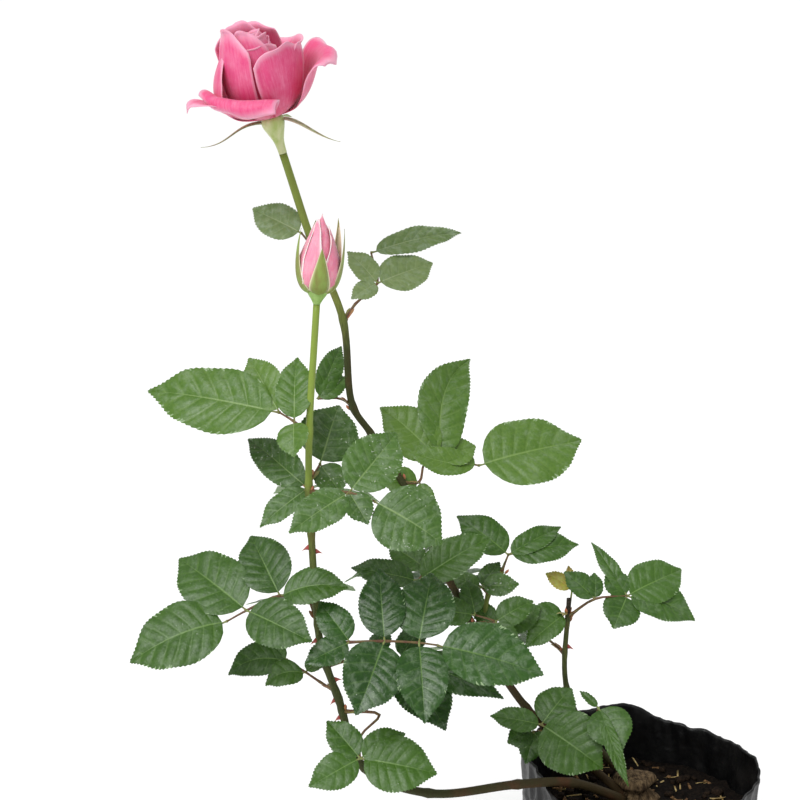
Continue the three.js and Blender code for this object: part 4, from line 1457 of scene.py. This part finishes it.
@dataclass(frozen=True)
class Petal:
    """One petal of the open bloom: it leaves the hip, bellies out, and its rim rolls back."""

    azimuth: float
    half_width: float
    belly: float
    tip_radius: float
    tip_height: float
    roll: float = 80.0  # how far the rim turns over, in degrees
    curl: float = 0.12  # the share of the petal that the rolled rim takes
    shoulder: float = 0.22  # how far the corners are rounded off
    point: float = 0.03
    tuck: float = 1.2  # one side lies in under its neighbour
    fullness: float = 0.8  # the share of its height at which it is still wide
    slant: float = 0.0  # how much higher its right side ends
    flare: float = 2.0  # how far its sides stand out
    wave: float = 1.0
    deep: float = 0.0  # how much further its colour goes to the throat colour, painted shade
    foot: Pair = (5.0, 23.5)  # the radius and the height of its foot on the hip
    climb: float = 0.1  # the share of its height that it climbs before it bellies out
    across: int = 22
    along: int = 30

    def lay(self, mesh: bmesh.types.BMesh, frame_of: FlowerFrame, seed: int) -> None:
        """Adds the petal to a mesh.

        Args:
            mesh: The petals' mesh.
            frame_of: The bloom's frame.
            seed: The petal's number.
        """
        rise = self.tip_height - self.foot[1]
        curve = [self.foot, (self.belly * 1.05, self.foot[1] + self.climb * rise),
                 (self.belly, self.foot[1] + self.fullness * rise),
                 (self.tip_radius, self.tip_height)]
        r1, h1 = bezier(curve, 0.97)
        slope = math.hypot(curve[3][0] - r1, curve[3][1] - h1)
        tangent = ((curve[3][0] - r1) / slope, (curve[3][1] - h1) / slope)
        bent = math.radians(self.roll)
        length = self.curl * math.hypot(rise, self.tip_radius - self.foot[0]) * 1.15
        hinge = 1 - self.curl

        def place(u: float, w: float) -> Vector:
            """Places a corner of the petal.

            Args:
                u: How far along the sheet it is, from 0 to 1.
                w: How far across the sheet it is, from -1 to 1.

            Returns:
                The place, in millimetres.
            """
            side = abs(w)
            up = u * (1 - self.shoulder * side**2.6) + self.point * u**6 * (1 - side) ** 2
            radius, height = bezier(curve, min(1.0, up / hinge))
            over = max(0.0, up - hinge) / self.curl
            if over > 0:
                turn, arm = bent * over, length / bent
                on, off = arm * math.sin(turn), arm * (1 - math.cos(turn))
                radius += on * tangent[0] + off * tangent[1]
                height += on * tangent[1] - off * tangent[0]
            half = self.half_width * (0.3 + 0.7 * math.sin(math.pi / 2 * min(1.0, u * 1.25)))
            swing = math.degrees(w * half / max(radius, self.belly * 0.8))
            ripple = noise.noise(Vector((3 * w + seed, 3 * u, seed * 1.7)))
            radius += self.tuck * w * u + self.wave * ripple * u
            radius += self.flare * (max(0.0, side - 0.7) / 0.3) ** 2 * u
            height += self.slant * w * u + 0.8 * self.wave * math.sin(7 * w + seed) * u**4
            return frame_of.place(max(0.3, radius), self.azimuth + swing, height)

        def rim(u: float, w: float) -> float:
            """Gives how much of the pale rim is at a corner of the petal."""
            return 0.85 * max(smooth(0.86, 1.0, u), smooth(0.9, 1.0, abs(w)) * smooth(0.2, 0.6, u))

        def depth(u: float, w: float) -> float:
            """Gives how much painted shade a corner takes, more the further it is down in the
            throat.
            """
            return min(1.0, self.deep + 0.75 * (1 - smooth(0.0, 0.75, u)))

        sheet(mesh, self.across, self.along, place, {"rim": rim, "depth": depth})


@dataclass
class OpenBloom:
    """The half open bloom on its hip, with its sepals turned down."""

    # azimuth, half width, belly radius, tip radius and tip height of each outer petal
    outer: tuple[Petal, ...] = (
        Petal(-48, 19, 28, 30, 65, roll=70, curl=0.05, tuck=0.6, shoulder=0.18, point=0, slant=0.5),
        Petal(6, 28, 32, 42, 52, roll=130, curl=0.2, shoulder=0.08, point=0.06, slant=4, wave=1.4),
        Petal(28, 28, 26, 31, 62, roll=50, curl=0.06, shoulder=0.06, flare=1, point=0, wave=1.2),
        Petal(92, 26, 22, 18, 74, roll=40, curl=0.06, shoulder=0.1, flare=1, wave=1.3),
        Petal(112, 17, 20, 13, 78, roll=30, curl=0.05, shoulder=0.12, fullness=0.5, flare=0.5),
        Petal(176, 24, 34, 15, 70, roll=20, curl=0.05, tuck=0.6, fullness=0.6, point=0),
        Petal(-156, 15, 29, 42, 47, roll=50, curl=0.1, wave=1.4, point=0.08, climb=0.3),
        Petal(-138, 18, 25, 14, 79, roll=60, curl=0.05, tuck=0.5, fullness=0.6, flare=0.8),
        Petal(-97, 15, 20, 12, 77, roll=70, curl=0.05, tuck=0.5, fullness=0.6, flare=0.8, point=0),
        Petal(-117, 26, 26, 31, 44, roll=185, curl=0.4, shoulder=0.14, slant=-9, climb=0.4),
    )
    inner_count: int = 17
    inner_radii: Pair = (17.0, 3.0)
    spiral: float = 137.5  # the turn from one inner petal to the next, in degrees
    # azimuth, then the (radius, height) of the two control points and of the tip
    sepals: tuple[tuple[float, Pair, Pair, Pair], ...] = (
        (180, (24, 27), (29, 13), (47.5, 17.5)), (-8, (17, 20), (22, 5), (37, -2)),
        (70, (14, 22), (19, 18), (27, 15)), (98, (14, 22), (18, 18), (26, 14)),
        (122, (14, 22), (18, 20), (27, 19)))
    hip: tuple[Pair, ...] = ((2.6, 0), (2.7, 3), (3.3, 8), (5.4, 14), (7.1, 19), (7.0, 22),
                             (5.5, 24), (0, 25))

    def petals(self) -> list[Petal]:
        """Gives all the petals, with the inner ones in a spiral that narrows to the heart."""
        found = list(self.outer)
        for k in range(self.inner_count):
            share = k / (self.inner_count - 1)
            radius = self.inner_radii[0] - (self.inner_radii[0] - self.inner_radii[1]) * share
            # the inner petals take more painted shade towards the heart
            found.append(Petal(
                -82 + self.spiral * k, 19 - 12 * share, radius, radius * (0.85 - 0.25 * share),
                66 + 7 * math.sin(math.pi * min(1, share * 1.3)), roll=60 * (1 - share) + 5,
                curl=0.06, shoulder=0.08, tuck=1.2 * (1 - 0.6 * share), fullness=0.7,
                flare=0.3, point=0.0, wave=0.4, deep=0.15 + 0.35 * share))
        return found

    def build(self) -> list[bpy.types.Object]:
        """Makes the petals and the green parts."""
        frame_of = FlowerFrame(CANES["flower"])
        mesh = bmesh.new()
        for seed, petal in enumerate(self.petals()):
            petal.lay(mesh, frame_of, seed)
        skin = PetalSkin("rose pink petal", "DD4A80", "F2B0C8", "C8265A").build()
        petals = finished(mesh, "bloom_petals", [skin], solid=False)
        thicken(petals, 0.55)
        greens = bmesh.new()
        turned(greens, frame_of, self.hip, 28)
        for azimuth, *bend in self.sepals:
            sepal(greens, frame_of, azimuth, [(5, 21.5), *bend], 4.2, slot=1, cup=1.0)
        finishes = [
            GreenPart("waxy rose hip", "A9BC6C", "CDD3A0", "D6C9A6", 0.4, 5.0, (1, 1, 0.4)).build(),
            GreenPart("turned back sepal", "8FA35A", "7C6A3E", "CFCBA0", 0.55, 4.0).build(),
        ]
        hip = finished(greens, "bloom_hip_and_sepals", finishes)
        return [stands_for(petals, "petals", "open_bloom"), stands_for(hip, "petals")]


def thicken(piece: bpy.types.Object, thickness: float) -> None:
    """Gives a piece of open sheets its thickness, in millimetres."""
    wall = piece.modifiers.new("thickness", "SOLIDIFY")
    wall.thickness = thickness * MM
    wall.offset = 0.0


def turned(mesh: bmesh.types.BMesh, frame_of: FlowerFrame, profile: Sequence[Pair], sides: int
           ) -> None:
    """Adds a round body in a flower's frame.

    Args:
        mesh: The mesh.
        frame_of: The flower's frame.
        profile: The (radius, height) pairs, from the foot up.
        sides: The number of faces round it.
    """
    fine = Line.rounded([Vector((r, 0, h)) for r, h in profile], 4).points

    def place(u: float, w: float) -> Vector:
        """Places a corner of the round body.

        Args:
            u: How far along the sheet it is, from 0 to 1.
            w: How far across the sheet it is, from -1 to 1.

        Returns:
            The place, in millimetres.
        """
        point = fine[round(u * (len(fine) - 1))]
        return frame_of.place(max(0.0, point.x), 180 * w, point.z)

    sheet(mesh, sides, len(fine) - 1, place)


def sepal(mesh: bmesh.types.BMesh, frame_of: FlowerFrame, azimuth: float, curve: Sequence[Pair],
          half_width: float, slot: int, cup: float) -> None:
    """Adds a sepal: a narrow closed blade along a curve, with a pale margin and a fine tip.

    Args:
        mesh: The mesh.
        frame_of: The flower's frame.
        azimuth: The way it points.
        curve: Its four (radius, height) control points.
        half_width: Half its greatest width.
        slot: The number of its finish.
        cup: How far its middle stands off its sides.
    """
    thick = 0.45

    def place(u: float, w: float) -> Vector:
        """Places a corner of the sepal, whose outer skin has w below 0 and the inner one above.

        Args:
            u: How far along the sheet it is, from 0 to 1.
            w: How far across the sheet it is, from -1 to 1.

        Returns:
            The place, in millimetres.
        """
        over = 1 - 2 * abs(abs(w) - 0.5)
        lateral = 1 - 2 * abs(w) if w < 0 else 2 * abs(w) - 1
        skin = 1 if w < 0 else -1
        radius, height = bezier(curve, u)
        r2, h2 = bezier(curve, min(1.0, u + 0.02))
        r0, h0 = bezier(curve, max(0.0, u - 0.02))
        run = math.hypot(r2 - r0, h2 - h0)
        out = ((h2 - h0) / run, -(r2 - r0) / run)
        outline = math.sin(math.pi * min(1.0, 0.2 + 0.8 * u**0.75)) ** 0.9
        wide = half_width * outline * (1 - 0.25 * u)
        lift = cup * (1 - lateral**2) * (1 - u) + skin * thick * over * (1 - 0.7 * u)
        swing = math.degrees(lateral * wide / max(radius, 6))
        return frame_of.place(radius + out[0] * lift, azimuth + swing, height + out[1] * lift)

    def rim(u: float, w: float) -> float:
        """Gives how much of the pale margin is at a corner of the sepal."""
        return smooth(0.72, 0.98, abs(1 - 2 * abs(w)))

    sheet(mesh, 20, 26, place, {"rim": rim}, slot=slot)


@dataclass
class OpeningBud:
    """The bud: petals still wrapped to a point, in sepals that have just let go."""

    body: tuple[Pair, ...] = ((6.2, 8.5), (10.8, 13), (12.2, 19), (11.3, 28), (7.6, 38), (3.2, 48),
                              (0.4, 54))
    twist: float = 26.0  # from the foot of a petal to its top, in degrees
    # azimuth, half span at the foot and at the top in degrees, share of the height, offset, pink
    # tone and painted shade
    wraps: tuple[tuple[float, float, float, float, float, float], ...] = (
        (-90, 180, 180, 1.0, -1.1, 0.4), (80, 120, 95, 0.9, -0.3, 0.2),
        (-168, 92, 52, 0.93, 0.2, 0.05), (-22, 84, 40, 0.84, 0.5, 0.3),
        (150, 70, 50, 0.88, 0.5, 0.1),
    )
    hip: tuple[Pair, ...] = ((2.1, 0), (3.4, 2.5), (5.4, 5.5), (6.6, 8), (6.9, 9.5), (5, 10.5),
                             (0, 11))
    sepals: tuple[Triple, ...] = ((-82, 11, 35), (-5, 13.5, 46), (40, 12, 51), (115, 9, 49),
                                  (-165, 12, 45))

    def build(self) -> list[bpy.types.Object]:
        """Makes the petals and the green parts."""
        frame_of = FlowerFrame(CANES["bud"])
        heights = [h for _, h in self.body]
        radii = [r for r, _ in self.body]
        mesh = bmesh.new()
        for azimuth, foot, top, share, offset, deep in self.wraps:
            high = heights[0] + share * (heights[-1] - heights[0])
            loose = offset > -1

            def place(u: float, w: float) -> Vector:
                """Places a corner of a wrapped petal.

                Args:
                    u: How far along the sheet it is, from 0 to 1.
                    w: How far across the sheet it is, from -1 to 1.

                Returns:
                    The place, in millimetres.
                """
                side = abs(w)
                reach_up = u * (1 - 0.16 * side**3)
                height = heights[0] + reach_up * (high - heights[0])
                radius = float(np.interp(height, heights, radii)) + offset
                span = foot + (top - foot) * u**1.4
                radius += 0.9 * smooth(0.86, 1, side) * smooth(0.3, 0.8, u) * loose
                turn = azimuth + self.twist * u + w * span
                return frame_of.place(max(0.25, radius), turn, height)

            # depth: painted shade on the inner core and towards each petal's foot, with a pink tone
            # of each petal's own
            marks = {
                "rim": lambda u, w: 0.9 * max(
                    smooth(0.8, 1, abs(w)) * loose, smooth(0.93, 1, u)),
                "depth": lambda u, w: min(1.0, deep + 0.35 * (1 - smooth(0, 0.4, u))),
            }
            sheet(mesh, 30, 30, place, marks)
        skin = PetalSkin("opening bud petal", "E98BA6", "FBEBEA", "D4446F").build()
        petals = finished(mesh, "bud_petals", [skin], solid=False)
        thicken(petals, 0.4)
        greens = bmesh.new()
        turned(greens, frame_of, self.hip, 24)
        for azimuth, radius, height in self.sepals:
            curve = [(5.8, 8.2), (15, 11), (14.5, 0.7 * height), (radius, height)]
            sepal(greens, frame_of, azimuth, curve, 7.0, slot=1, cup=1.2)
        finishes = [
            GreenPart("waxy bud hip", "86AC52", "A0C070", "C9CFA0", 0.4, 5.0).build(),
            GreenPart("clasping sepal", "86A34A", "7F7F3E", "E9DDBB", 0.5, 4.0,
                      (1, 1, 0.3)).build(),
        ]
        hip = finished(greens, "bud_hip_and_sepals", finishes)
        return [stands_for(petals, "petals", "opening_bud"), stands_for(hip, "petals")]


# ---------------------------------------------------------------- studio


@dataclass
class Studio:
    """A pale floor, soft light and the camera."""

    camera_place: Triple = (-161.6, -1115.8, 705.2)
    pitch: float = 14.0
    focal_pixels: float = 1797.0
    frame_pixels: float = 800.0
    floor_size: float = 140.0  # metres
    lamp_aim: Triple = (-0.12, 0.0, 0.35)  # metres
    sky_strength: float = 0.55

    def build(self) -> None:
        """Sets the studio up."""
        self.floor()
        self.sun("key_light", (-0.55, -0.8, 1.15), 38.0, 2.3)
        self.light("back_light", (0.5, 1.6, 1.9), 1.4, 9.0)
        world = bpy.data.worlds.new("soft_sky")
        bpy.context.scene.world = world
        world.use_nodes = True
        sky = world.node_tree.nodes["Background"]
        sky.inputs["Color"].default_value = (1.0, 1.0, 1.0, 1.0)
        sky.inputs["Strength"].default_value = self.sky_strength
        settings = bpy.context.scene.view_settings
        settings.view_transform = "Standard"
        settings.look = "None"
        lens = bpy.data.cameras.new("camera")
        lens.sensor_width = 36.0
        lens.lens = self.focal_pixels / self.frame_pixels * lens.sensor_width
        lens.clip_end = 300.0
        camera = shown("camera", lens)
        camera.location = Vector(self.camera_place) * MM
        camera.rotation_euler = (math.radians(90 - self.pitch), 0, 0)
        bpy.context.scene.camera = camera

    def floor(self) -> None:
        """Lays the floor: smooth matt white paint, which bounces the light up into the leaves."""
        material, add, place = start("matt white studio floor")
        patches = add("TexNoise", {"Vector": place, "Scale": 2.0, "Detail": 2.0})
        tone = add("Mix", {0: patches, 6: linear("FBFBFB"), 7: linear("F7F7F7")},
                   data_type="RGBA")
        close(add, Base_Color=tone, Roughness=0.9, Specular_IOR_Level=0.2)
        mesh = bmesh.new()
        bmesh.ops.create_grid(mesh, x_segments=4, y_segments=4, size=self.floor_size / 2)
        finished(mesh, "floor", [material], solid=False)

    @staticmethod
    def sun(name: str, towards: Triple, width: float, strength: float) -> None:
        """Sets a far, wide light that reaches the bush and the whole floor alike.

        Args:
            name: Its name.
            towards: The way from the bush to the light.
            width: How wide it looks, in degrees.
            strength: In watts per square metre.
        """
        lamp = bpy.data.lights.new(name, "SUN")
        lamp.angle, lamp.energy = math.radians(width), strength
        hung = shown(name, lamp)
        hung.rotation_euler = (-Vector(towards)).to_track_quat("-Z", "Y").to_euler()

    def light(self, name: str, place: Triple, size: float, power: float) -> None:
        """Hangs a soft lamp that looks at the middle of the bush.

        Args:
            name: Its name.
            place: Where it hangs, in metres.
            size: Its width, in metres.
            power: In watts.
        """
        lamp = bpy.data.lights.new(name, "AREA")
        lamp.size, lamp.energy = size, power
        hung = shown(name, lamp)
        hung.location = place
        aim = Vector(self.lamp_aim) - hung.location
        hung.rotation_euler = aim.to_track_quat("-Z", "Y").to_euler()


# ---------------------------------------------------------------- the whole


def main() -> None:
    """Builds the rose bush and its studio."""
    logging.basicConfig(level=logging.INFO, format="%(message)s")
    Studio().build()
    bag = GrowBag()
    bag.build_bag()
    bag.build_soil()
    bag.build_chips()
    RootCrown().build()
    for key, cane in CANES.items():
        eyes = [(spray.at, spray.stem[1]) for spray in SPRAYS if spray.cane == key]
        cane.build(eyes)
    Foliage().build()
    OpenBloom().build()
    OpeningBud().build()


if __name__ == "__main__":
    main()
